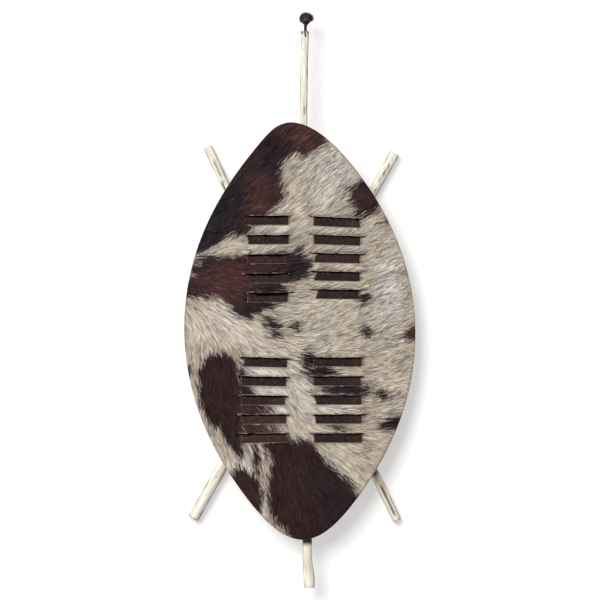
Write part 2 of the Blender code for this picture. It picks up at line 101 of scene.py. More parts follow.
class Nodes:
    """A short way to build a material's node tree."""

    def __init__(self, name: str) -> None:
        """Starts a material with only a Principled shader and its output.

        Args:
            name: The material's name.
        """
        self.material = bpy.data.materials.new(name)
        self.material.use_nodes = True
        self.tree = self.material.node_tree
        self.shader = self.tree.nodes["Principled BSDF"]

    def add(self, kind: str, **settings: object) -> bpy.types.Node:
        """Adds a node.

        Args:
            kind: The node's type name.
            settings: Properties of the node, and values of its inputs by their lower-case names.

        Returns:
            The new node.
        """
        node = self.tree.nodes.new(kind)
        for key, value in settings.items():
            plug = next((s for s in node.inputs if s.name.lower().replace(" ", "_") == key), None)
            if hasattr(node, key):
                setattr(node, key, value)
            elif plug is not None:
                plug.default_value = value
        return node

    def link(self, source: Socket, target: Socket) -> None:
        """Links an output to an input."""
        self.tree.links.new(source, target)

    def place(self) -> Socket:
        """The place on the object, in its own frame."""
        return self.add("ShaderNodeTexCoord").outputs["Object"]

    def painted(self, layer: str) -> Socket:
        """The colour that the mesh holds in a layer."""
        return self.add("ShaderNodeVertexColor", layer_name=layer).outputs["Color"]

    def noise(self, place: Socket, scale: float, detail: float) -> Socket:
        """Adds noise.

        Args:
            place: The coordinates that the noise reads.
            scale: Its scale, in repeats a metre.
            detail: How many finer layers it has.

        Returns:
            The noise's value.
        """
        node = self.add("ShaderNodeTexNoise", scale=scale, detail=detail)
        self.link(place, node.inputs["Vector"])
        return node.outputs["Fac"]

    def stretched(self, place: Socket, scale: Scale) -> Socket:
        """Scales coordinates unevenly, which draws a pattern out into streaks."""
        node = self.add("ShaderNodeMapping")
        node.inputs["Scale"].default_value = scale
        self.link(place, node.inputs["Vector"])
        return node.outputs["Vector"]

    def ranged(self, value: Socket, read: Range, given: Range = (0.0, 1.0)) -> Socket:
        """Maps the values of one range to another, and holds what lies outside at its ends."""
        node = self.add(
            "ShaderNodeMapRange", from_min=read[0], from_max=read[1], to_min=given[0], to_max=given[1],
        )
        self.link(value, node.inputs["Value"])
        return node.outputs["Result"]

    def spread(self, noise: Socket, given: Range) -> Socket:
        """Maps a noise to a range: nearly all its values are in its middle part."""
        return self.ranged(noise, (0.3, 0.7), given)

    def times(self, colour: Socket, factor: Socket) -> Socket:
        """Multiplies a colour by a value."""
        node = self.add("ShaderNodeVectorMath", operation="MULTIPLY")
        self.link(colour, node.inputs[0])
        self.link(factor, node.inputs[1])
        return node.outputs["Vector"]

    def mixed(self, share: Socket, start: Socket | Colour, end: Socket | Colour) -> Socket:
        """Mixes two colours, each a socket or a plain colour, by a share."""
        node = self.add("ShaderNodeMix", data_type="RGBA")
        self.link(share, node.inputs["Factor"])
        for plug, colour in ((node.inputs[6], start), (node.inputs[7], end)):
            if isinstance(colour, Socket):
                self.link(colour, plug)
            else:
                plug.default_value = (*colour, 1.0)
        return node.outputs[2]

    def bumped(self, height: Socket, depth: float, strength: float) -> None:
        """Bumps the shader's normal.

        Args:
            height: The value that stands for height, from 0 to 1.
            depth: What a height of 1 is in metres.
            strength: The share of the bump that shows.
        """
        node = self.add("ShaderNodeBump", strength=strength, distance=depth)
        self.link(height, node.inputs["Height"])
        self.link(node.outputs["Normal"], self.shader.inputs["Normal"])


@dataclass(frozen=True)
class Finish:
    """What every finish has: a name, and how rough and how bright its gloss is."""

    name: str
    roughness: float
    gloss: float

    def build(self) -> bpy.types.Material:
        """Makes the material."""
        nodes = Nodes(self.name)
        nodes.shader.inputs["Roughness"].default_value = self.roughness
        nodes.shader.inputs["Specular IOR Level"].default_value = self.gloss
        nodes.link(self.colour(nodes), nodes.shader.inputs["Base Color"])
        return nodes.material

    def colour(self, nodes: Nodes) -> Socket:
        """Adds the nodes that colour the finish, and its bump.

        Args:
            nodes: The material's nodes.

        Returns:
            The colour.
        """
        raise NotImplementedError


@dataclass(frozen=True)
class HairFinish(Finish):
    """Hair that has its colour at each point, with faint streaks finer than a hair piece."""

    streak_scale: float = 1400.0
    streak_tones: Range = (0.86, 1.14)

    def colour(self, nodes: Nodes) -> Socket:
        """Colours the hair from its own points, a little lighter and darker from place to place."""
        streaks = nodes.spread(nodes.noise(nodes.place(), self.streak_scale, 2.0), self.streak_tones)
        return nodes.times(nodes.painted(HAIR_COLOUR), streaks)


@dataclass(frozen=True)
class SurfaceFinish(Finish):
    """Leather or rawhide: its colour at each point, mottled, with pores and fibres in relief."""

    mottle: float
    mottle_scale: float
    fibre_scale: float = 900.0
    fibre_tones: Range = (0.86, 1.12)
    relief: float = 0.25 * MM
    relief_strength: float = 0.8

    def colour(self, nodes: Nodes) -> Socket:
        """Mottles the surface's own colour and roughens it."""
        place = nodes.place()
        fibres = nodes.noise(place, self.fibre_scale, 4.0)
        nodes.bumped(fibres, self.relief, self.relief_strength)
        broad = nodes.spread(nodes.noise(place, self.mottle_scale, 5.0), (1 - self.mottle, 1 + self.mottle))
        mottled = nodes.times(nodes.painted(SURFACE_COLOUR), broad)
        return nodes.times(mottled, nodes.spread(fibres, self.fibre_tones))


@dataclass(frozen=True)
class WoodFinish(Finish):
    """Peeled wood: pale, with long streaks along the branch and short dark flecks."""

    streak_scale: Scale = (9.0, 22.0, 1.0)
    streak_tones: Range = (0.70, 1.16)
    fibre_scale: Scale = (34.0, 55.0, 1.0)
    fibre_tones: Range = (0.84, 1.08)
    stain: Colour = (0.62, 0.50, 0.36)
    stain_scale: Scale = (2.0, 6.0, 1.0)
    stain_from: Range = (0.56, 0.76)
    fleck: Colour = (0.24, 0.15, 0.09)
    fleck_scale: Scale = (26.0, 110.0, 1.0)
    fleck_from: Range = (0.655, 0.73)
    relief: float = 0.3 * MM
    relief_strength: float = 0.7

    def colour(self, nodes: Nodes) -> Socket:
        """Streaks the wood's own colour along the grain."""
        grain_map = nodes.add("ShaderNodeUVMap", uv_map=GRAIN_MAP).outputs["UV"]
        patterns = (
            (self.streak_scale, 6.0), (self.fibre_scale, 3.0),
            (self.stain_scale, 3.0), (self.fleck_scale, 2.0),
        )
        streaks, fibres, stains, flecks = (
            nodes.noise(nodes.stretched(grain_map, scale), 1.0, detail) for scale, detail in patterns
        )
        nodes.bumped(streaks, self.relief, self.relief_strength)
        streaked = nodes.times(nodes.painted(SURFACE_COLOUR), nodes.spread(streaks, self.streak_tones))
        fibrous = nodes.times(streaked, nodes.spread(fibres, self.fibre_tones))
        stained = nodes.mixed(nodes.ranged(stains, self.stain_from), fibrous, self.stain)
        return nodes.mixed(nodes.ranged(flecks, self.fleck_from), stained, self.fleck)


@dataclass(frozen=True)
class FloorFinish(Finish):
    """A matt pale floor, lit a little from within like a light table, so that shadows stay light."""

    white: Colour = (0.66, 0.66, 0.66)
    glow: float = 0.33
    cloud_scale: float = 1.5
    cloud_shade: float = 0.99

    def colour(self, nodes: Nodes) -> Socket:
        """Clouds the floor very faintly and lets it glow."""
        nodes.shader.inputs["Emission Color"].default_value = (1.0, 1.0, 1.0, 1.0)
        nodes.shader.inputs["Emission Strength"].default_value = self.glow
        cloud = nodes.noise(nodes.place(), self.cloud_scale, 2.0)
        return nodes.mixed(cloud, tuple(self.cloud_shade * part for part in self.white), self.white)


# Charts over the shield

HIDDEN_ENDS = {  # for each strip's bars from the top down, what hair hides of their ends, as in Bar
    "lacing_strip_upper_left": ((2, 1.5, 1, 1), (0, 1, 0, 0), (0, 0, 5, 4), (3, 1, 2, 0), (0, 0, 0, 3)),
    "lacing_strip_upper_right": ((0, 0, 1, 0), (0, 0, 0, 0), (7, 0, 0, 1), (6, 0, 0.5, 1), (8, 3, 2.5, 2.5)),
    "lacing_strip_lower_left": ((6, 4.5, 0, 0), (0, 1, 0, 3), (0, 0, 4, 4), (0, 1, 0, 1), (0, 0, 1, 0)),
    "lacing_strip_lower_right": (
        (0, 0, 1, 0.5), (1, 0, 2, 2.5), (0, 5, 1, 1), (3, 3, 0, 0.5), (0, 1.5, 0, 0),
    ),
}
GAPING = {  # how much wider than usual the slit above each bar gapes at its middle, in millimetres
    "lacing_strip_upper_left": (0.6, 0.0, 0.5, 1.2, 3.2),
    "lacing_strip_upper_right": (-0.8, -0.8, -0.7, -0.4, -0.4),
    "lacing_strip_lower_left": (0.0, 0.3, 0.2, -0.4, -0.2),
    "lacing_strip_lower_right": (-0.4, -0.4, -0.4, -0.6, -0.6),
}


def eased(share: Array) -> Array:
    """Shares from 0 to 1, eased at both ends; what lies outside is held at the ends."""
    share = np.clip(share, 0.0, 1.0)
    return share * share * (3.0 - 2.0 * share)


def blended(start: Array | Colour, end: Array | Colour, share: Array) -> Array:
    """Goes from one colour or value to another as the share goes from 0 to 1."""
    return np.asarray(start) * (1 - share) + np.asarray(end) * share


def turned(directions: Array, angle: Array) -> Array:
    """Flat directions turned by angles, anticlockwise."""
    cos, sin = np.cos(angle), np.sin(angle)
    x, y = directions[:, 0], directions[:, 1]
    return np.stack([x * cos - y * sin, x * sin + y * cos], axis=1)


@dataclass
class Chart:
    """Values on a square grid over the shield, read smoothly between its points.

    Attributes:
        low: The grid's lowest corner.
        step: The distance between its points.
        values: The values by row, up along Y, and column.
    """

    low: Array
    step: float
    values: Array

    def read(self, places: Array) -> Array:
        """Reads between the points.

        Args:
            places: Flat places, one a row.

        Returns:
            The value at each place.
        """
        rows, columns = self.values.shape[:2]
        at = (places - self.low) / self.step
        x = np.clip(at[:, 0], 0.0, columns - 1.001)
        y = np.clip(at[:, 1], 0.0, rows - 1.001)
        column, row = x.astype(int), y.astype(int)
        right, up = x - column, y - row
        if self.values.ndim == 3:
            right, up = right[:, None], up[:, None]
        below = blended(self.values[row, column], self.values[row, column + 1], right)
        above = blended(self.values[row + 1, column], self.values[row + 1, column + 1], right)
        return blended(below, above, up)

    def nearest(self, places: Array) -> Array:
        """The value of the point nearest to each place."""
        rows, columns = self.values.shape[:2]
        at = np.rint((places - self.low) / self.step).astype(int)
        return self.values[np.clip(at[:, 1], 0, rows - 1), np.clip(at[:, 0], 0, columns - 1)]


def grid_count(low: Array, high: Array, step: float) -> Array:
    """How many points along X and along Y a square grid has that covers a rectangle."""
    return np.ceil((high - low) / step).astype(int) + 1


def grid_of(low: Array, step: float, count: Array) -> Array:
    """The places of a square grid's points.

    Args:
        low: Its lowest corner.
        step: The distance between its points.
        count: How many points it has along X and along Y.

    Returns:
        The places, by row, up along Y, and column.
    """
    across = low[0] + step * np.arange(count[0])
    along = low[1] + step * np.arange(count[1])
    return np.stack(np.meshgrid(across, along), axis=-1)


def random_chart(rng: np.random.Generator, low: Array, high: Array, wave: float) -> Chart:
    """Smooth noise from -1 to 1 over a rectangle.

    Args:
        rng: The source of chance.
        low: The rectangle's lowest corner.
        high: Its highest corner.
        wave: How far apart its hills are.

    Returns:
        The chart, at a quarter of the wave's spacing.
    """
    count = grid_count(low, high, wave)
    coarse = Chart(low - wave, wave, rng.uniform(-1, 1, (count[1] + 2, count[0] + 2)))
    fine_low, step = low - wave / 2, wave / 4
    grid = grid_of(fine_low, step, 4 * count)
    at = (grid - coarse.low) / wave
    smooth_at = np.floor(at) + eased(at - np.floor(at))
    values = coarse.read((smooth_at * wave + coarse.low).reshape(-1, 2))
    return Chart(fine_low, step, values.reshape(grid.shape[:2]))


@dataclass(frozen=True)
class Bar:
    """A bar of a strip, where it shows between two lands of the hide.

    Attributes:
        left: Its left end.
        right: Its right end.
        top: Its upper edge: its slope, and its height where X is 0.
        bottom: Its lower edge likewise.
        hidden: How far the hair hides it from the left at the top, from the left at the bottom, from the
            right at the top and from the right at the bottom, in millimetres.
        gape: How much wider than usual the slit above it gapes, in millimetres.
    """

    left: float
    right: float
    top: tuple[float, float]
    bottom: tuple[float, float]
    hidden: tuple[float, float, float, float]
    gape: float

    NEAR = 2.0 * MM

    def edges(self, x: Array) -> tuple[Array, Array]:
        """The heights of its upper and its lower edge at X."""
        return self.top[0] * x + self.top[1], self.bottom[0] * x + self.bottom[1]

    def hides(self, x: Array, y: Array) -> Array:
        """Whether the hair hides the bar at each place."""
        top, bottom = self.edges(x)
        share = np.clip((top - y) / (top - bottom), 0, 1)
        left_top, left_bottom, right_top, right_bottom = self.hidden
        left = self.left + (left_top + (left_bottom - left_top) * share) * MM
        right = self.right - (right_top + (right_bottom - right_top) * share) * MM
        beside = (x > self.left - self.NEAR) & (x < self.right + self.NEAR)
        level = (y > bottom - self.NEAR) & (y < top + self.NEAR)
        return beside & level & ((x < left) | (x > right))


class Ground:
    """The shield's top as charts: what is on top at each place, and how high the hide and strips are."""

    STEP = 1.0 * MM
    MARGIN = 12 * MM
    ABOVE = 0.2
    THIN = 3  # grid rows: what is narrower than twice this is a slit and not the hide's outside
    ENDS = 2  # grid columns left out at each end of a strip, where its corners are cut
    SPREAD_ROUNDS = 10

    def __init__(self, hide: bpy.types.Object, strips: list[bpy.types.Object]) -> None:
        """Casts rays straight down onto the hide and the strips.

        Args:
            hide: The solid hide.
            strips: The solid strips woven through it.
        """
        low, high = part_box(hide.name)
        self.low = np.array(low[:2]) - self.MARGIN
        self.high = np.array(high[:2]) + self.MARGIN
        hide_z = self.heights([hide])
        strip_z = self.heights(strips)
        strip_on_top = np.nan_to_num(strip_z, nan=-1.0) > np.nan_to_num(hide_z, nan=0.0)
        kind = np.where(self.covered(~np.isnan(hide_z)), Kind.HAIR, Kind.NOTHING)
        kind[strip_on_top] = Kind.STRIP
        self.kind = Chart(self.low, self.STEP, kind)
        self.bars = [bar for strip in strips for bar in self.bars_of(strip)]
        x = self.low[0] + self.STEP * np.arange(kind.shape[1])
        y = self.low[1] + self.STEP * np.arange(kind.shape[0])[:, None]
        for bar in self.bars:
            kind[bar.hides(x, y) & strip_on_top] = Kind.HAIR
        hair_z = np.where(kind == Kind.HAIR, np.fmax(hide_z, strip_z), np.nan)
        self.hair_base = Chart(self.low, self.STEP, self.filled(hair_z))
        self.strip_base = Chart(self.low, self.STEP, self.filled(strip_z))
        top_z = np.where(kind == Kind.STRIP, self.strip_base.values, self.hair_base.values)
        self.top_base = Chart(self.low, self.STEP, top_z)

    def covered(self, found: Array) -> Array:
        """Where there is hide, the narrow slits counted in: what has hide close above and close below."""
        above, below = found.copy(), found.copy()
        for shift in range(1, self.THIN + 1):
            above[:-shift] |= found[shift:]
            below[shift:] |= found[:-shift]
        return found | (above & below)

    def bars_of(self, strip: bpy.types.Object) -> list[Bar]:
        """The bars in which a strip shows.

        Args:
            strip: The solid strip.

        Returns:
            Its bars, from the lowest up, each edge a straight line through what the rays met.
        """
        low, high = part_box(strip.name)
        first, last = (int(round((end.x - self.low[0]) / self.STEP)) for end in (low, high))
        foot, head = (int(round((end.y - self.low[1]) / self.STEP)) for end in (low, high))
        places, edges = [], []
        for column in range(first + self.ENDS, last + 1 - self.ENDS):
            shown = self.kind.values[foot - 1:head + 2, column] == Kind.STRIP
            places.append(self.low[0] + column * self.STEP)
            edges.append(np.flatnonzero(np.diff(shown.astype(int))) + foot - 0.5)
        usual = int(np.median([len(row) for row in edges]))
        across = np.array([x for x, row in zip(places, edges) if len(row) == usual])
        along = self.low[1] + self.STEP * np.array([row for row in edges if len(row) == usual])
        lines = [tuple(np.polyfit(across, along[:, number], 1)) for number in range(usual)]
        hidden, gaping = (reversed(table[strip.name]) for table in (HIDDEN_ENDS, GAPING))
        return [
            Bar(low.x, high.x, top, bottom, ends, gape)
            for bottom, top, ends, gape in zip(lines[::2], lines[1::2], hidden, gaping)
        ]

    def heights(self, solids: list[bpy.types.Object]) -> Array:
        """The height of the highest of some solids on the grid.

        Args:
            solids: The solids' objects, which sit at the origin.

        Returns:
            Heights by row and column, not a number where there is nothing.
        """
        columns, rows = grid_count(self.low, self.high, self.STEP)
        found = np.full((rows, columns), np.nan)
        down = Vector((0.0, 0.0, -1.0))
        for solid in solids:
            mesh = solid.data
            tree = BVHTree.FromPolygons([v.co for v in mesh.vertices], [p.vertices for p in mesh.polygons])
            low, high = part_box(solid.name)
            first = np.floor((np.array(low[:2]) - self.low) / self.STEP).astype(int)
            last = np.ceil((np.array(high[:2]) - self.low) / self.STEP).astype(int)
            for row in range(first[1], last[1] + 1):
                y = self.low[1] + row * self.STEP
                for column in range(first[0], last[0] + 1):
                    x = self.low[0] + column * self.STEP
                    hit = tree.ray_cast(Vector((x, y, self.ABOVE)), down)[0]
                    if hit is not None:
                        found[row, column] = hit.z
        return found

    def filled(self, heights: Array) -> Array:
        """Heights spread out over the holes beside them, a point further each round."""
        heights = heights.copy()
        level = np.nanmean(heights)
        for _ in range(self.SPREAD_ROUNDS):
            edged = np.pad(heights, 1, constant_values=np.nan)
            beside = np.stack([edged[:-2, 1:-1], edged[2:, 1:-1], edged[1:-1, :-2], edged[1:-1, 2:]])
            known = ~np.isnan(beside)
            count = known.sum(axis=0)
            total = np.where(known, beside, 0.0).sum(axis=0)
            grown = np.isnan(heights) & (count > 0)
            heights[grown] = total[grown] / count[grown]
        return np.nan_to_num(heights, nan=level)


class Slits:
    """The slits' gaping mouths, painted near black as shade, and the pale cut rims by them, as charts."""

    STEP = 0.5 * MM
    REACH = 20 * MM
    WAVES = ((34, 0.45), (15, 0.35), (7, 0.25), (3.5, 0.15))  # a line's waves: lengths in mm, and sizes
    PAST_LEFT = (7, 13)  # how far a slit runs on past a bar's left end, in millimetres
    PAST_RIGHT = (8, 14)
    TAPER_LEFT = 6 * MM  # how long it takes to close there
    TAPER_RIGHT = 8 * MM
    SHOULDER = 2 * MM
    WANDER = 0.35 * MM
    SHUT = 0.4 * MM
    RIM = 1.25 * MM
    RIM_LEFT = 7 * MM
    RIM_RIGHT = 2 * MM

    def __init__(self, ground: Ground, rng: np.random.Generator) -> None:
        """Draws the mouths and rims of all the bars.

        Args:
            ground: The shield's charts.
            rng: The source of chance.
        """
        self.low = ground.low
        self.rng = rng
        columns, rows = grid_count(ground.low, ground.high, self.STEP)
        self.mouth, self.rim = (Chart(self.low, self.STEP, np.full((rows, columns), -1.0)) for _ in range(2))
        for bar in ground.bars:
            self.add(bar)

    def wave(self, x: Array) -> Array:
        """A line that wanders between about -1 and 1 along X, another one each time."""
        return sum(
            size * np.sin(math.tau * x / (wave * MM) + self.rng.uniform(0, math.tau))
            for wave, size in self.WAVES
        )

    def add(self, bar: Bar) -> None:
        """Draws one bar's mouth and rims.

        Args:
            bar: The bar.
        """
        lowest = np.array([bar.left, bar.bottom[1]]) - self.REACH
        highest = np.array([bar.right, bar.top[1]]) + self.REACH
        first, last = (np.floor((end - self.low) / self.STEP).astype(int) for end in (lowest, highest))
        window = (slice(first[1], last[1]), slice(first[0], last[0]))
        x = self.low[0] + self.STEP * np.arange(first[0], last[0])
        y = self.low[1] + self.STEP * np.arange(first[1], last[1])[:, None]
        before = bar.left - self.rng.uniform(*self.PAST_LEFT) * MM
        after = bar.right + self.rng.uniform(*self.PAST_RIGHT) * MM
        opening = np.clip((x - before) / self.TAPER_LEFT, 0, 1)
        taper = opening * np.clip((after - x) / self.TAPER_RIGHT, 0, 1)
        inside = eased((x - bar.left) / self.SHOULDER) * eased((bar.right - x) / self.SHOULDER)
        top, bottom = bar.edges(x)
        top = top + self.WANDER * self.wave(x)
        shut = self.SHUT * (taper < 0.02)
        belly = (1 - ((2 * x - bar.left - bar.right) / (bar.right - bar.left)) ** 2).clip(0, 1)
        drop = ((1.4 + 1.0 * self.wave(x)).clip(0.3, 3) + bar.gape * belly).clip(0.2)
        upper = top + (0.3 + 0.35 * self.wave(x)) * MM * taper - shut
        lower = top - (1.0 + inside * drop) * MM * taper + shut
        mouth = np.minimum(upper - y, y - lower)
        self.mouth.values[window] = np.maximum(self.mouth.values[window], mouth)
        along_rim = (x > bar.left - self.RIM_LEFT) & (x < bar.right + self.RIM_RIGHT)
        thick = self.RIM * np.clip(0.80 + 0.5 * self.wave(x), 0, 1) * along_rim
        rim = np.minimum(y - upper, upper + thick - y)
        thin = self.RIM * np.clip(0.35 + 0.8 * self.wave(x), 0, 1) * along_rim
        under = np.minimum(bottom - y, y - bottom + thin)
        self.rim.values[window] = np.maximum(self.rim.values[window], np.maximum(rim, under))


# The coat


@dataclass(frozen=True)
class Patch:
    """A dark patch of the coat.

    Attributes:
        outline: Points of its smooth outline, in millimetres.
    """

    outline: tuple[tuple[float, float], ...]

    def depth(self, places: Array) -> Array:
        """How far inside the patch each place is, in metres, less than 0 outside."""
        outline = self.smooth_outline() * MM
        start, end = outline, np.roll(outline, -1, axis=0)
        inside = np.zeros(len(places), bool)
        nearest = np.full(len(places), np.inf)
        x, y = places[:, 0], places[:, 1]
        for (x0, y0), (x1, y1) in zip(start, end):
            run = np.array([x1 - x0, y1 - y0])
            share = np.clip(((x - x0) * run[0] + (y - y0) * run[1]) / (run @ run), 0.0, 1.0)
            gap = np.hypot(x - x0 - share * run[0], y - y0 - share * run[1])
            nearest = np.minimum(nearest, gap)
            if y0 != y1:
                crosses = (y0 > y) != (y1 > y)
                inside ^= crosses & (x < x0 + (y - y0) * (x1 - x0) / (y1 - y0))
        return np.where(inside, nearest, -nearest)

    def smooth_outline(self, steps: int = 4) -> Array:
        """The outline with points on a smooth curve between its own."""
        points = np.array(self.outline, float)
        before, after, beyond = (np.roll(points, shift, axis=0) for shift in (1, -1, -2))
        curve = []
        for step in range(steps):
            t = step / steps
            curve.append(0.5 * (2 * points + (after - before) * t
                                + (2 * before - 5 * points + 4 * after - beyond) * t ** 2
                                + (3 * points - 3 * after + beyond - before) * t ** 3))
        return np.stack(curve, axis=1).reshape(-1, 2)


@dataclass(frozen=True)
class Spot:
    """An oval of the coat: a dark fleck, or where the dark hair has another tone.

    Attributes:
        centre: Its middle, in millimetres.
        radii: Its half width and half height, in millimetres.
        turn: How far it is turned anticlockwise, in degrees.
        strength: How fully it shows, from 0 to 1.
    """

    centre: tuple[float, float]
    radii: tuple[float, float]
    turn: float = 0.0
    strength: float = 1.0

    SOFT = 1.6  # how far out a tone fades to nothing, where its edge is at 1

    def reach(self, places: Array) -> Array:
        """How far from the middle each place is: 0 there, 1 on the edge."""
        offset = places / MM - np.array(self.centre)
        along = turned(offset, np.full(len(offset), -math.radians(self.turn)))
        return np.hypot(along[:, 0] / self.radii[0], along[:, 1] / self.radii[1])

    def depth(self, places: Array) -> Array:
        """How far inside the oval each place is, in metres, less than 0 outside."""
        return (1.0 - self.reach(places)) * min(self.radii) * MM


def spots(*rows: tuple[float, ...]) -> tuple[Spot, ...]:
    """Spots from rows of numbers: the centre, the radii and, where they count, the turn and the strength."""
    return tuple(Spot(row[:2], row[2:4], *row[4:]) for row in rows)


PATCHES = (
    Patch((  # the crown and the left shoulder
        (64, 291), (40, 255), (28, 240), (13, 233), (0, 234), (-12, 236), (-18, 231), (-26, 219),
        (-28, 204), (-26, 195), (-28, 180), (-25, 168), (-34, 157), (-38, 148), (-48, 141), (-60, 124),
        (-68, 120), (-81, 109), (-89, 102), (-104, 105), (-117, 100), (-125, 93), (-135, 87), (-148, 80),
        (-169, 72), (-192, 67), (-208, 144), (-136, 240), (-60, 300),
    )),
    Patch((  # the band across the upper left lacing
        (-153, 69), (-140, 74), (-124, 70), (-107, 67), (-89, 72), (-60, 76), (-32, 76), (-4, 72),
        (10, 66), (19, 57), (16, 46), (10, 38), (0, 31), (-14, 26), (-24, 17), (-17, 10),
        (-20, 0), (-33, -6), (-41, -15), (-59, -19), (-76, -24), (-89, -30), (-104, -21), (-115, -7),
        (-132, 2), (-153, 2), (-172, 0), (-195, 6), (-195, 30), (-166, 36), (-176, 48), (-160, 59),
    )),
    Patch((  # beside the lower left lacing
        (-148, -92), (-134, -84), (-118, -86), (-105, -93), (-98, -106), (-92, -136), (-90, -176),
        (-88, -208), (-92, -236), (-99, -252), (-107, -242), (-115, -234), (-123, -217), (-131, -207),
        (-143, -201), (-152, -186), (-159, -165), (-163, -143), (-161, -119), (-154, -100),
    )),
    Patch((  # the lower point
        (-49, -240), (-46, -225), (-12, -224), (20, -229), (31, -244), (48, -262), (64, -278),
        (80, -292), (95, -311), (109, -333), (64, -392), (5, -410), (-10, -385), (-22, -369),
        (-36, -356), (-45, -344), (-51, -329), (-53, -314), (-52, -296), (-48, -279), (-46, -260),
    )),
    Patch((  # left of it, across a light tongue
        (-118, -279), (-107, -277), (-96, -269), (-86, -275), (-76, -283), (-64, -294), (-55, -306),
        (-55, -320), (-61, -330), (-66, -341), (-78, -352), (-96, -340), (-124, -304),
    )),
)

FLECKS = spots(
    (104, 164, 23, 27, 20), (82, 180, 11, 5, 32, 0.5), (112, 138, 12, 4.5, 22, 0.45),
    (136, 124, 7, 8, 0, 0.6), (-44, -36, 14, 9, -30, 0.75), (-38, -54, 10, 8, -30, 0.5),
    (-6, -41, 9, 9, 0, 0.7), (104, 0, 11, 6, 40, 0.7), (106, -53, 8, 9, 0, 0.8), (180, -56, 12, 13),
    (167, 43, 9, 4, 15, 0.7), (132, -153, 10, 10, 20, 0.95), (148, -197, 17, 10, 15, 0.85),
    (16, -95, 13, 14), (34, -115, 28, 11), (26, -126, 14, 6, 0, 0.8), (-178, -114, 6, 10),
    (74, -143, 38, 10), (62, -205, 13, 7, 0, 0.55), (-94, -116, 9, 10), (-88, -146, 14, 10),
    (-76, -177, 23, 10), (-68, -207, 33, 10), (-95, -172, 8, 62), (-69, -254, 6, 22, 4, 0.9),
    (-52, -236, 6, 12, 0, 0.8), (-95, -241, 10, 13, 0, 0.9), (4, 82, 8, 9, 0, 0.4),
)

BLUE_BLACK_PARTS = spots(
    (-128, 138, 30, 62, -32), (-52, 214, 30, 13, 15, 0.8), (-34, 240, 24, 20, 0, 0.45),
    (2, 48, 22, 18, 0, 0.6), (-50, 0, 34, 20, 0, 0.5), (80, -141, 32, 12),
    (60, -320, 38, 60, 30, 0.35), (106, -53, 12, 12), (107, 187, 12, 13, 0, 0.75),
    (-28, -42, 34, 20, 0, 0.7), (62, -205, 16, 10, 0, 0.8),
)

RUSSET_PARTS = spots(
    (-72, 168, 34, 46, 0, 1.0), (10, 262, 44, 26, -20, 1.0), (-110, 30, 46, 30, 0, 1.0),
    (-125, -140, 26, 44, 0, 0.12), (-10, -300, 34, 60, 0, 0.15), (180, -56, 16, 16, 0, 0.9),
    (-66, -207, 30, 12, 0, 0.6), (-74, -177, 26, 10, 0, 0.5), (-82, -302, 24, 24, 0, 0.3),
    (-70, 58, 50, 16, 0, 0.55), (100, 156, 20, 20, 0, 0.4),
)

WHITE_PARTS = spots(
    (-52, -116, 34, 9, 0, 0.9), (-50, -146, 30, 9, 0, 0.9), (-38, -177, 18, 8, 0, 0.8),
    (-46, 112, 34, 9, 0, 0.4), (-48, 82, 36, 9, 0, 0.35), (6, -130, 9, 62, 0, 0.5),
    (60, -172, 36, 8, 0, 0.5), (-88, -276, 22, 12, -50, 0.6), (46, 200, 34, 40, 0, 0.75),
    (-128, -42, 44, 24, -20, 0.35), (142, 14, 20, 46, 0, 0.85),
)


@dataclass(frozen=True)
class Mottle:
    """How much of another tone the light hair takes.

    Attributes:
        usual: Its usual share.
        by_place: How much it differs from place to place.
        by_hair: How much it differs from hair to hair.
        most: Its greatest share.
    """

    usual: float
    by_place: float
    by_hair: float
    most: float

    def share(self, here: Array, chance: Array) -> Array:
        """The share for each hair, of a number from -1 to 1 for its place and of its own chance."""
        return np.clip(self.usual + self.by_place * here + self.by_hair * chance, 0, self.most)[:, None]


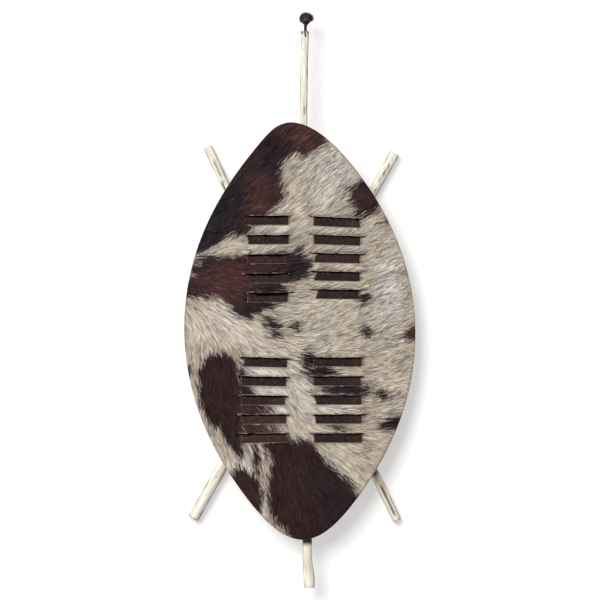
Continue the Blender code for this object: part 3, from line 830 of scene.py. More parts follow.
@dataclass
class Coat:
    """The coat's colours, as charts of how dark the hair is and what tone the dark hair has."""

    low: Array
    high: Array
    rng: np.random.Generator
    step: float = 1.5 * MM
    ragged: float = 3.0 * MM
    fray: float = 6.0 * MM
    blend: float = 2.6 * MM
    rough_waves: tuple[tuple[float, float], ...] = ((22 * MM, 0.9), (9 * MM, 0.8))
    fleck_fade: float = 4 * MM
    edge_reach: float = 9 * MM
    edge_mauve: float = 0.45
    stray_from: Range = (0.82, 0.97)
    stray_mauve: float = 0.12
    warm: Mottle = Mottle(0.20, 0.45, 0.25, 0.8)
    warm_wave: float = 34 * MM
    cool: Mottle = Mottle(0.12, 0.40, -0.2, 0.7)
    cool_wave: float = 16 * MM
    pale_cools: float = 0.7
    light: Colour = (0.655, 0.574, 0.475)
    white: Colour = (0.775, 0.74, 0.685)
    tan: Colour = (0.49, 0.40, 0.30)
    grey: Colour = (0.43, 0.405, 0.38)
    brown: Colour = (0.0275, 0.0102, 0.0104)
    blue_black: Colour = (0.0165, 0.0128, 0.0188)
    russet: Colour = (0.094, 0.036, 0.035)
    mauve: Colour = (0.21, 0.145, 0.140)
    depth: Chart = field(init=False)
    blueness: Chart = field(init=False)
    redness: Chart = field(init=False)
    paleness: Chart = field(init=False)
    warmth: Chart = field(init=False)
    greyness: Chart = field(init=False)

    def __post_init__(self) -> None:
        """Works the charts out from the patches and spots."""
        grid = grid_of(self.low, self.step, grid_count(self.low, self.high, self.step))
        places = grid.reshape(-1, 2)
        depth = np.full(len(places), -1.0)
        for part in PATCHES:
            depth = np.maximum(depth, part.depth(places))
        for fleck in FLECKS:
            depth = np.maximum(depth, fleck.depth(places) - (1 - fleck.strength) * self.fleck_fade)
        for wave, size in self.rough_waves:
            rough = random_chart(self.rng, self.low, self.high, wave)
            depth = depth + rough.read(places) * self.ragged * size
        tones = (self.tone(parts, places) for parts in (BLUE_BLACK_PARTS, RUSSET_PARTS, WHITE_PARTS))
        self.depth, self.blueness, self.redness, self.paleness = (
            Chart(self.low, self.step, values.reshape(grid.shape[:2])) for values in (depth, *tones)
        )
        self.warmth = random_chart(self.rng, self.low, self.high, self.warm_wave)
        self.greyness = random_chart(self.rng, self.low, self.high, self.cool_wave)

    @staticmethod
    def tone(parts: tuple[Spot, ...], places: Array) -> Array:
        """How far some soft ovals colour each place, from 0 to 1."""
        share = np.zeros(len(places))
        for part in parts:
            share = np.maximum(share, part.strength * eased(part.SOFT - part.reach(places)))
        return share

    def colours(self, places: Array, chance: Array) -> Array:
        """The hair's colour.

        Args:
            places: Where each hair shows, flat, one a row.
            chance: A number from -1 to 1 for each hair, which frays the patches' edges.

        Returns:
            Linear colours, one a row.
        """
        depth = self.depth.read(places) + chance * self.fray
        dark_share = eased((depth + self.blend) / (2 * self.blend))[:, None]
        edge_share = (eased((depth + self.edge_reach) / self.edge_reach) * self.edge_mauve)[:, None]
        blue = self.blueness.read(places)[:, None]
        red = (self.redness.read(places) * (0.75 + 0.25 * chance))[:, None]
        dark = blended(blended(self.brown, self.russet, red), self.blue_black, blue)
        first, last = self.stray_from
        stray = (eased((chance - first) / (last - first)) * self.stray_mauve)[:, None]
        dark = blended(dark, self.mauve, stray)
        pale = self.paleness.read(places)[:, None]
        warm = self.warm.share(self.warmth.read(places), chance) * (1 - self.pale_cools * pale)
        cool = self.cool.share(self.greyness.read(places), chance)
        light = blended(blended(self.light, self.white, pale), self.tan, warm)
        light = blended(blended(light, self.grey, cool), self.mauve, edge_share)
        return blended(light, dark, dark_share)


@dataclass
class HairRun:
    """Which way the hair lies, read between the places where its direction is known.

    Each of the known places is (x, y) in millimetres, then degrees anticlockwise from +X.
    """

    low: Array
    high: Array
    step: float = 8 * MM
    known: tuple[tuple[float, float, float], ...] = (
        (-27, 256, 44), (8, 256, 20), (44, 256, 30), (-62, 216, 28), (-27, 216, 54), (8, 216, 46),
        (44, 216, 45), (-97, 176, 50), (-62, 176, 45), (-27, 176, 58), (8, 176, 51), (44, 176, 44),
        (79, 176, 35), (8, 136, 34), (79, 136, 30), (114, 136, 28), (-132, 96, 34), (-60, 96, 38),
        (8, 96, 32), (60, 96, 36), (114, 96, 30), (-132, 56, 2), (-97, 56, 7), (8, 56, 16),
        (60, 56, 26), (114, 56, 20), (149, 56, 28), (-168, 16, -24), (-132, 16, -16), (-27, 16, 13),
        (8, 16, 15), (60, 16, 14), (114, 16, 14), (149, 16, 22), (-168, -24, -51), (-132, -24, -30),
        (-97, -24, -25), (-62, -24, -7), (-27, -24, 10), (8, -24, 20), (44, -24, 22), (79, -24, 23),
        (114, -24, 30), (149, -24, 18), (-168, -64, -81), (-132, -64, -72), (-97, -64, -36),
        (-62, -64, -26), (-27, -64, -20), (8, -64, 6), (44, -64, 18), (79, -64, 15), (114, -64, 30),
        (149, -64, 22), (-168, -104, -85), (-132, -104, -84), (-60, -104, -40), (8, -104, -21),
        (60, -104, 2), (114, -104, 6), (149, -104, 23), (-132, -144, -87), (-60, -144, -42),
        (-8, -144, -45), (60, -144, -4), (114, -144, 8), (149, -144, 20), (-132, -184, -76),
        (-60, -184, -40), (-8, -184, -45), (60, -184, -8), (114, -184, 4), (-8, -224, -45),
        (60, -224, -18), (114, -224, -3), (-97, -264, -74), (-62, -264, -79), (-27, -264, -78),
        (8, -264, -66), (44, -264, -45), (79, -264, -33), (-62, -304, -77), (-27, -304, -84),
        (8, -304, -70), (44, -304, -63), (-27, -344, -95), (8, -344, -80),
    )
    rng: np.random.Generator = field(default_factory=lambda: np.random.default_rng(SEED + 1))
    waves: tuple[tuple[float, float], ...] = ((46 * MM, 9.0), (17 * MM, 13.0), (8 * MM, 7.0))
    blur: float = 16 * MM
    fall: float = 1.6
    chart: Chart = field(init=False)
    ripples: list[Chart] = field(init=False)

    def __post_init__(self) -> None:
        """Works the chart out, each known place counting by how near it is, and the waves on it."""
        self.ripples = [random_chart(self.rng, self.low, self.high, wave) for wave, _ in self.waves]
        grid = grid_of(self.low, self.step, grid_count(self.low, self.high, self.step))
        known = np.array(self.known)
        angle = np.radians(known[:, 2])
        gap = np.linalg.norm(grid[:, :, None, :] - known[:, :2] * MM, axis=-1)
        weight = 1.0 / (gap ** 2 + self.blur ** 2) ** self.fall
        flow = np.stack([(weight * np.cos(angle)).sum(-1), (weight * np.sin(angle)).sum(-1)], axis=-1)
        flow /= np.linalg.norm(flow, axis=-1, keepdims=True)
        self.chart = Chart(self.low, self.step, flow)

    def read(self, places: Array) -> Array:
        """The hair's direction at each place, one unit row each."""
        flow = self.chart.read(places)
        sizes = [math.radians(size) for _, size in self.waves]
        angle = sum(size * ripple.read(places) for size, ripple in zip(sizes, self.ripples))
        return turned(flow / np.linalg.norm(flow, axis=1, keepdims=True), angle)


# Making pieces


class Domain(str, Enum):
    """Where a mesh holds its colours: at its points, or at its faces' corners, to change at an edge."""

    POINT = "POINT"
    CORNER = "CORNER"


def publish(
    mesh: bpy.types.Mesh, finish: bpy.types.Material, slot: Slot, *replaced: str
) -> None:
    """Makes the mesh a piece of the shield.

    Args:
        mesh: The piece's mesh, whose name becomes the piece's.
        finish: Its material.
        slot: The record's slot that the finish stands for; not used.
        replaced: The solids that the piece is shown in place of.
    """
    mesh.materials.clear()
    mesh.materials.append(finish)
    piece = bpy.data.objects.new(mesh.name, mesh)
    bpy.context.scene.collection.objects.link(piece)
    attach(piece, BODY)
    if replaced:
        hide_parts(*replaced)
    log.info("%s: %d faces", piece.name, len(mesh.polygons))


def mesh_of(bm: bmesh.types.BMesh, name: str, sharp: float = SHARP) -> bpy.types.Mesh:
    """Turns the bmesh into a smooth mesh with its faces outwards and frees it.

    Args:
        bm: The shape.
        name: The mesh's name.
        sharp: The angle in degrees from which an edge stays sharp.

    Returns:
        The mesh.
    """
    bmesh.ops.recalc_face_normals(bm, faces=bm.faces)
    mesh = bpy.data.meshes.new(name)
    bm.to_mesh(mesh)
    bm.free()
    mesh.shade_smooth()
    mesh.set_sharp_from_angle(angle=math.radians(sharp))
    return mesh


def numbers(
    parts: bpy.types.bpy_prop_collection, key: str, each: int = 1, kind: type = np.int32
) -> Array:
    """Reads a property of all parts of a mesh.

    Args:
        parts: The parts, such as its points.
        key: The property's name.
        each: How many numbers it is.
        kind: The type of the numbers.

    Returns:
        The numbers, one a part, or a row a part where it is several.
    """
    flat = np.empty(each * len(parts), kind)
    parts.foreach_get(key, flat)
    return flat if each == 1 else flat.reshape(-1, each)


def points_of(mesh: bpy.types.Mesh) -> Array:
    """The mesh's points, one a row."""
    return numbers(mesh.vertices, "co", 3, np.float32).astype(float)


def normals_of(mesh: bpy.types.Mesh) -> Array:
    """The normal at each of the mesh's points, one a row."""
    return numbers(mesh.vertex_normals, "vector", 3, np.float32).astype(float)


def corners_of(mesh: bpy.types.Mesh) -> tuple[Array, Array]:
    """For each corner of each face, the number of its point and the upward share of its face's normal."""
    upward = numbers(mesh.polygon_normals, "vector", 3, np.float32)[:, 2]
    return numbers(mesh.loops, "vertex_index"), np.repeat(upward, numbers(mesh.polygons, "loop_total"))


def move_points(mesh: bpy.types.Mesh, points: Array) -> None:
    """Puts the mesh's points at new places."""
    mesh.vertices.foreach_set("co", points.astype(np.float32).ravel())
    mesh.update()


def paint(mesh: bpy.types.Mesh, layer: str, colours: Array, domain: Domain = Domain.POINT) -> None:
    """Gives the mesh a layer of colour.

    Args:
        mesh: The mesh.
        layer: The layer's name.
        colours: The colours, one a row.
        domain: Whether they are the points' or the faces' corners'.
    """
    attribute = mesh.color_attributes.new(layer, "FLOAT_COLOR", domain.value)
    full = np.concatenate([colours, np.ones((len(colours), 1))], axis=1)
    attribute.data.foreach_set("color", full.astype(np.float32).ravel())


def map_corners(mesh: bpy.types.Mesh, name: str, u: Array, v: Array) -> None:
    """Gives the mesh a UV map of that name, with a place for each corner of each face."""
    layer = mesh.uv_layers.new(name=name)
    layer.data.foreach_set("uv", np.column_stack([u, v]).astype(np.float32).ravel())


def solid_copy(node: str) -> bmesh.types.BMesh:
    """A copy of a CAD solid whose loose triangles are joined where they meet."""
    bm = bmesh.new()
    bm.from_mesh(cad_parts[node].data)
    bmesh.ops.remove_doubles(bm, verts=bm.verts, dist=0.002 * MM)
    return bm


def rounded_rim(bm: bmesh.types.BMesh, radius: float, segments: int = 1) -> None:
    """Rounds the solid's sharp edges.

    Args:
        bm: The solid.
        radius: How far the rounding reaches from an edge.
        segments: How many faces it is wide.
    """
    rim = [e for e in bm.edges if e.is_manifold and e.calc_face_angle() > math.radians(SHARP)]
    bmesh.ops.bevel(
        bm, geom=rim, offset=radius, offset_type="OFFSET", segments=segments, profile=0.5,
        affect="EDGES", clamp_overlap=True, material=-1,
    )


# Hair


@dataclass
class Comb:
    """Lays hair on a surface in locks, each lock a few flat tapered strands that come together at the tip.

    Attributes:
        grows: Says at which flat places the hair grows.
        base: The height of the surface.
        ground: The shield's charts.
        direction: Gives the hair's direction at flat places.
        colours: Gives the hair's colour at flat places, with a chance for each.
        rng: The source of chance.
        lock_gap: The distance between neighbouring locks.
        strands: How many strands a lock has.
        length: A strand's length.
        width: Its greatest width.
        lift: How high its middle stands over the surface.
        sway: How far a lock may turn from the hair's direction, in degrees.
        overhang: How far a strand may reach over a strip, where it leaves along X.
        stagger: How far a strand may be ahead of its lock or behind it.
        depth_shade: How much darker the lowest locks are painted, as painted shade under the locks above.
        contrast: How much the strands' lightness varies.
        shadow_strands: The share of strands painted much darker and laid on top, as painted shade between
            locks.
    """

    grows: Callable[[Array], Array]
    base: Chart
    ground: Ground
    direction: Callable[[Array], Array]
    colours: Callable[[Array, Array], Array]
    rng: np.random.Generator
    lock_gap: float = 2.82 * MM
    strands: int = 7
    length: float = 21 * MM
    width: float = 1.0 * MM
    lift: float = 2.5 * MM
    sway: float = 4.0
    overhang: float = 3.5 * MM
    stagger: float = 3.5 * MM
    depth_shade: float = 0.5
    contrast: float = 0.10
    shadow_strands: float = 0.0

    STATIONS = (0.0, 0.3, 0.68, 1.0)  # where a strand has points, as shares of its length
    HEIGHTS = (0.12, 0.86, 1.0, 0.72)  # how high it is at each, as a share of its lift
    WIDTHS = (0.7, 1.0, 0.85)  # how wide, at all but its tip
    # SHADES paint a strand darker at its root as painted shade and lighter at its tip as a painted highlight
    SHADES = (0.62, 0.88, 1.0, 1.08)  # how light
    SHOWING = 0.55  # the place along it that gives it its colour
    PROBES = 21
    ROW_GAP = 0.87  # the gap between rows of locks, as a share of the gap in a row
    SHAKE = 0.42
    LOCK_LENGTHS = (0.75, 1.2)
    LOCK_CONTRAST = 0.08
    LOCK_SHADES = (0.7, 1.3)
    SPREAD = 0.6  # how far aside of its lock a strand may grow, in gaps between locks
    GATHERED = 0.6  # the share of that by which the strands have come together at the tip
    ASTRAY = 0.035
    FULL_REACHES = (0.86, 1.0)
    SHORTEST = 0.12  # a strand with less of its length than this is left out
    ROLL = 24.0
    SHADOW_STRAND_SHADE = 0.65
    SHADOW_STRAND_LIFT = 1.05

    def lock_roots(self) -> Array:
        """Places for locks, on a shaken grid over the whole hide."""
        low, high = self.ground.low, self.ground.high
        across = np.arange(low[0], high[0], self.lock_gap)
        along = np.arange(low[1], high[1], self.lock_gap * self.ROW_GAP)
        x, y = np.meshgrid(across, along)
        x = x + (np.arange(len(along)) % 2)[:, None] * self.lock_gap / 2
        places = np.stack([x.ravel(), y.ravel()], axis=1)
        places += self.rng.uniform(-self.SHAKE, self.SHAKE, places.shape) * self.lock_gap
        return places[self.grows(places)]

    def lock_ways(self, roots: Array, length: Array) -> Array:
        """The middle line of each lock, which follows the hair's direction.

        Args:
            roots: The locks' roots.
            length: Each lock's length.

        Returns:
            The line's places at each station, as locks, stations and x, y.
        """
        sway = np.radians(self.rng.normal(0.0, self.sway, len(roots)))
        bend = np.radians(self.rng.normal(0.0, self.sway, len(roots)))
        place, ways = roots, [roots]
        for number, (start, end) in enumerate(zip(self.STATIONS, self.STATIONS[1:])):
            heading = turned(self.direction(place), sway + bend * number / 2)
            place = place + heading * (length * (end - start))[:, None]
            ways.append(place)
        return np.stack(ways, axis=1)

    def build(self) -> tuple[Array, Array]:
        """Lays the hair.

        Returns:
            The strands' points, as strands, points and x, y, z, and each point's colour likewise,
            the lowest locks first.
        """
        roots = self.lock_roots()
        count = len(roots)
        lock_length = self.length * self.rng.uniform(*self.LOCK_LENGTHS, count)
        ways = self.lock_ways(roots, lock_length)
        lock_lift = self.rng.uniform(0.0, 1.0, count)
        lock_shade = self.rng.normal(1.0, self.LOCK_CONTRAST, count).clip(*self.LOCK_SHADES)
        # Painted shade: the lower a lock lies, the darker it is painted.
        lock_shade *= 1 - self.depth_shade * (1 - lock_lift) ** 1.5
        lock_chance = self.rng.uniform(-1, 1, count)
        lock = np.repeat(np.arange(count), self.strands)
        total = len(lock)
        heading = ways[lock, -1] - ways[lock, 0]
        heading /= np.linalg.norm(heading, axis=1, keepdims=True) + 1e-9
        side = np.stack([-heading[:, 1], heading[:, 0]], axis=1)
        stations = np.array(self.STATIONS)
        gather = (1 - self.GATHERED * stations)[None, :, None]
        off_side = side * self.rng.uniform(-self.SPREAD, self.SPREAD, total)[:, None] * self.lock_gap
        off_ahead = heading * self.rng.uniform(-1, 1, total)[:, None] * self.stagger
        lines = ways[lock] + off_side[:, None, :] * gather + off_ahead[:, None, :]
        stray = self.rng.normal(0, self.ASTRAY, total) * lock_length[lock]
        lines += side[:, None, :] * (stray[:, None] * stations ** 1.5)[:, :, None]
        kept = self.grows(lines[:, 0])
        lines, lock, side = lines[kept], lock[kept], side[kept]
        reach = self.free_reach(lines) * self.rng.uniform(*self.FULL_REACHES, len(lines))
        kept = reach > self.SHORTEST
        lines, lock, side, reach = lines[kept], lock[kept], side[kept], reach[kept]
        lines = self.cut_back(lines, reach)
        return self.ribbons(lines, lock, side, reach, lock_shade, lock_lift, lock_chance)

    def along(self, lines: Array, share: Array) -> Array:
        """The place at a share of each line's length.

        Args:
            lines: The lines' places at each station.
            share: The share for each line.

        Returns:
            One place a line.
        """
        stations = np.array(self.STATIONS)
        part = np.clip(np.searchsorted(stations, share, side="right") - 1, 0, len(stations) - 2)
        rest = (share - stations[part]) / (stations[part + 1] - stations[part])
        rows = np.arange(len(lines))
        return lines[rows, part] + (lines[rows, part + 1] - lines[rows, part]) * rest[:, None]

    def free_reach(self, lines: Array) -> Array:
        """How far each strand may go: over its own surface, and a little past an edge across X.

        Args:
            lines: The strands' places at each station.

        Returns:
            The share of each strand's length.
        """
        reach = np.ones(len(lines))
        going = np.ones(len(lines), bool)
        over_strip = np.zeros(len(lines), bool)
        for probe in range(1, self.PROBES + 1):
            share = probe / self.PROBES
            places = self.along(lines, np.full(len(lines), share))
            leaves = going & ~self.grows(places)
            reach[leaves] = share - 1 / self.PROBES
            over_strip |= leaves & (self.ground.kind.nearest(places) == Kind.STRIP)
            going &= ~leaves
        heading = lines[:, -1] - lines[:, 0]
        length = np.linalg.norm(heading, axis=1) + 1e-9
        level = 0.14 + 0.86 * np.abs(heading[:, 0] / length) ** 3
        extra = self.overhang * level * self.rng.uniform(0, 1, len(lines)) ** 2 / length
        return np.where(over_strip, np.minimum(reach + extra, 1.0), reach)

    def cut_back(self, lines: Array, reach: Array) -> Array:
        """The lines with their stations drawn in, so that each ends at its reach."""
        return np.stack([self.along(lines, reach * share) for share in self.STATIONS], axis=1)

    def ribbons(
        self, lines: Array, lock: Array, side: Array, reach: Array,
        lock_shade: Array, lock_lift: Array, lock_chance: Array,
    ) -> tuple[Array, Array]:
        """Widens each line into a flat ribbon that ends in a point, and colours it.

        Args:
            lines: The strands' flat places at each station.
            lock: The lock that each strand is in.
            side: The flat direction across each strand.
            reach: The share of its full length that each strand has.
            lock_shade: How light each lock is.
            lock_lift: How high each lock stands.
            lock_chance: The chance that frays a patch's edge, for each lock.

        Returns:
            The strands' points and their colours.
        """
        total = len(lines)
        roll = np.radians(self.rng.normal(0, self.ROLL, total))
        width = self.width * self.rng.uniform(0.7, 1.2, total) * (0.6 + 0.4 * reach)
        across = side * (np.cos(roll) * width / 2)[:, None]
        rise = np.sin(roll) * width / 2
        level = lock_lift[lock]
        grown = 0.35 + 0.65 * reach
        lift = self.lift * (0.22 + 0.78 * level) * self.rng.uniform(0.9, 1.1, total) * grown
        chance = np.clip(0.5 * lock_chance[lock] + 0.7 * self.rng.uniform(-1, 1, total), -1, 1)
        showing = self.along(lines, np.full(total, self.SHOWING))
        own = self.colours(showing, chance)
        own *= (lock_shade[lock] * self.rng.normal(1, self.contrast, total).clip(0.6, 1.4))[:, None]
        # Painted shade: a few strands, darker and on top, stand for the thin shadow lines between locks.
        stray = self.rng.uniform(0, 1, total) < self.shadow_strands
        own[stray] *= self.SHADOW_STRAND_SHADE
        lift[stray] = self.lift * self.SHADOW_STRAND_LIFT * grown[stray]
        points, shades = [], []
        for number, height in enumerate(self.HEIGHTS):
            place = lines[:, number]
            high = self.base.read(place) + lift * height
            shade = own * self.SHADES[number]
            if number == len(self.WIDTHS):
                points.append(np.column_stack([place, high]))
                shades.append(shade)
                continue
            half = across * self.WIDTHS[number]
            tip = rise * self.WIDTHS[number]
            points.append(np.column_stack([place - half, high - tip + np.abs(tip)]))
            points.append(np.column_stack([place + half, high + tip + np.abs(tip)]))
            shades += [shade, shade]
        order = np.argsort(level, kind="stable")
        return np.stack(points, axis=1)[order], np.clip(np.stack(shades, axis=1), 0, 0.95)[order]


def strand_faces() -> tuple[Array, Array]:
    """The faces of one strand: a strip of squares whose last one closes to a point.

    Returns:
        The corners' point numbers face after face, and each face's number of corners.
    """
    bm = bmesh.new()
    rungs = len(Comb.WIDTHS)
    bmesh.ops.create_grid(bm, x_segments=1, y_segments=rungs, size=1.0)
    bm.verts.ensure_lookup_table()
    order = sorted(bm.verts, key=lambda v: (round(v.co.y, 4), v.co.x))
    bmesh.ops.pointmerge(bm, verts=order[-2:], merge_co=(0.0, 1.0, 0.0))
    order = sorted(bm.verts, key=lambda v: (round(v.co.y, 4), v.co.x))
    number = {vertex: place for place, vertex in enumerate(order)}
    bmesh.ops.recalc_face_normals(bm, faces=bm.faces)
    faces = []
    for face in bm.faces:
        face.normal_update()
        corners = [number[v] for v in face.verts]
        faces.append(corners if face.normal.z > 0 else corners[::-1])
    bm.free()
    return np.concatenate(faces), np.array([len(f) for f in faces])


def strand_mesh(name: str, points: Array, colours: Array) -> bpy.types.Mesh:
    """A mesh of many strands.

    Args:
        name: The mesh's name.
        points: The strands' points, as strands, points and x, y, z.
        colours: Their colours likewise.

    Returns:
        The mesh.
    """
    corners, sizes = strand_faces()
    strands, each = points.shape[:2]
    start = np.concatenate([[0], np.cumsum(sizes)[:-1]])
    all_corners = corners[None, :] + each * np.arange(strands)[:, None]
    all_starts = start[None, :] + len(corners) * np.arange(strands)[:, None]
    mesh = bpy.data.meshes.new(name)
    mesh.vertices.add(strands * each)
    mesh.loops.add(all_corners.size)
    mesh.polygons.add(all_starts.size)
    mesh.vertices.foreach_set("co", points.astype(np.float32).ravel())
    mesh.loops.foreach_set("vertex_index", all_corners.astype(np.int32).ravel())
    mesh.polygons.foreach_set("loop_start", all_starts.astype(np.int32).ravel())
    mesh.update(calc_edges=True)
    mesh.validate()
    mesh.shade_smooth()
    paint(mesh, HAIR_COLOUR, colours.reshape(-1, 3))
    map_strands(mesh, strands, each)
    return mesh


def map_strands(mesh: bpy.types.Mesh, strands: int, each: int) -> None:
    """Gives each strand a cell of its own in a square UV map, root at the bottom and tip at the top.

    Args:
        mesh: The strands' mesh.
        strands: How many strands it has.
        each: How many points a strand has.
    """
    side = math.ceil(math.sqrt(strands))
    corners = numbers(mesh.loops, "vertex_index")
    strand, point = corners // each, corners % each
    up = np.minimum(point // 2, len(Comb.WIDTHS)) / len(Comb.WIDTHS)
    right = np.where(point == each - 1, 0.5, point % 2)
    u, v = (
        (cell + CELL_MARGIN + (1 - 2 * CELL_MARGIN) * within) / side
        for cell, within in ((strand % side, right), (strand // side, up))
    )
    map_corners(mesh, BAKE_MAP, u, v)


@dataclass
class Pelt:
    """The hair-on hide: a leather skin with its flesh side behind, and the coat of hair in layers."""

    ground: Ground
    slits: Slits
    coat: Coat
    run: HairRun
    rng: np.random.Generator
    skin_node: str = "cowhide"
    layers: tuple[str, ...] = ("hair_under", "hair_lower", "hair_middle", "hair_upper", "hair_guard")
    rim: float = 1.1 * MM
    flesh: Colour = (0.46, 0.36, 0.25)
    flesh_pale: Colour = (0.60, 0.51, 0.40)
    cut_edge: Colour = (0.56, 0.43, 0.35)
    under_shade: float = 0.42
    strip_reach: float = 3 * MM
    outline_reach: float = 7 * MM
    bare_edge: float = 1.0 * MM
    flesh_wave: float = 0.35 * MM
    flesh_span: float = 26 * MM
    longest_edge: float = 9 * MM
    # the share of the coat's strands painted dark and laid on top, as painted shade between locks
    shadow_strands: float = 0.035

    def build(self) -> None:
        """Makes the skin and the hair."""
        self.build_skin()
        self.build_hair()

    def build_skin(self) -> None:
        """Makes the leather: the solid hide with softened edges, an uneven flesh side and its colours."""
        bm = solid_copy(self.skin_node)
        rounded_rim(bm, self.rim)
        bmesh.ops.triangulate(bm, faces=bm.faces)
        long_edges = [e for e in bm.edges if e.calc_length() > self.longest_edge]
        bmesh.ops.subdivide_edges(bm, edges=long_edges, cuts=2, use_grid_fill=True)
        bmesh.ops.triangulate(bm, faces=bm.faces)
        mesh = mesh_of(bm, "hide_skin")
        points, normals = points_of(mesh), normals_of(mesh)
        flat = points[:, :2]
        wave = random_chart(self.rng, self.ground.low, self.ground.high, self.flesh_span).read(flat)
        behind = eased(-normals[:, 2] * 1.6 - 0.3)
        points[:, 2] += behind * wave * self.flesh_wave
        move_points(mesh, points)
        paint(mesh, SURFACE_COLOUR, self.skin_colours(mesh, flat, wave), Domain.CORNER)
        finish = SurfaceFinish("Cowhide leather", 0.85, 0.2, mottle=0.22, mottle_scale=38.0)
        publish(mesh, finish.build(), Slot.COWHIDE, self.skin_node)

    def skin_colours(self, mesh: bpy.types.Mesh, flat: Array, wave: Array) -> Array:
        """The skin's colour: the coat's in painted shade in front, pale suede behind and tan at the cut
        edges.

        Args:
            mesh: The skin.
            flat: Its points, seen from above.
            wave: Where its flesh side is thick and pale, for each point.

        Returns:
            A colour for each corner of each face.
        """
        under_hair = self.coat.colours(flat, np.zeros(len(flat))) * self.under_shade
        pale = (0.5 + 0.5 * wave)[:, None]
        suede = blended(self.flesh, self.flesh_pale, pale)
        point, upward = corners_of(mesh)
        front, back = (upward > FLAT)[:, None], (upward < -FLAT)[:, None]
        edge = np.where(self.bare_rim(flat)[:, None], np.array(self.cut_edge), under_hair)
        return np.where(front, under_hair[point], np.where(back, suede[point], edge[point]))

    def bare_rim(self, flat: Array) -> Array:
        """Whether each place is on a cut edge that shows: beside a strip, or on the hide's outline."""
        kind = self.ground.kind
        shown = np.zeros(len(flat), bool)
        for step in ((0, 1), (0, -1)):
            shown |= kind.nearest(flat + np.array(step) * self.strip_reach) == Kind.STRIP
        for step in ((0, 1), (0, -1), (1, 0), (-1, 0)):
            shown |= kind.nearest(flat + np.array(step) * self.outline_reach) == Kind.NOTHING
        return shown

    def build_hair(self) -> None:
        """Lays the coat and publishes it layer by layer, from the undercoat to the guard hair."""
        comb = Comb(
            self.grows, self.ground.hair_base, self.ground, self.run.read, self.coat.colours, self.rng,
            shadow_strands=self.shadow_strands,
        )
        points, colours = comb.build()
        finish = HairFinish("Cow hair", 0.6, 0.16).build()
        for name, chosen in zip(self.layers, np.array_split(np.arange(len(points)), len(self.layers))):
            publish(strand_mesh(name, points[chosen], colours[chosen]), finish, Slot.COWHIDE)

    def grows(self, places: Array) -> Array:
        """Whether the coat grows at each place: on the hide, but not at a slit's edge or in its mouth."""
        fits = self.ground.kind.nearest(places) == Kind.HAIR
        for side in (-self.bare_edge, self.bare_edge):
            fits &= self.ground.kind.nearest(places + np.array([0.0, side])) == Kind.HAIR
        return fits & (self.slits.mouth.read(places) < 0)


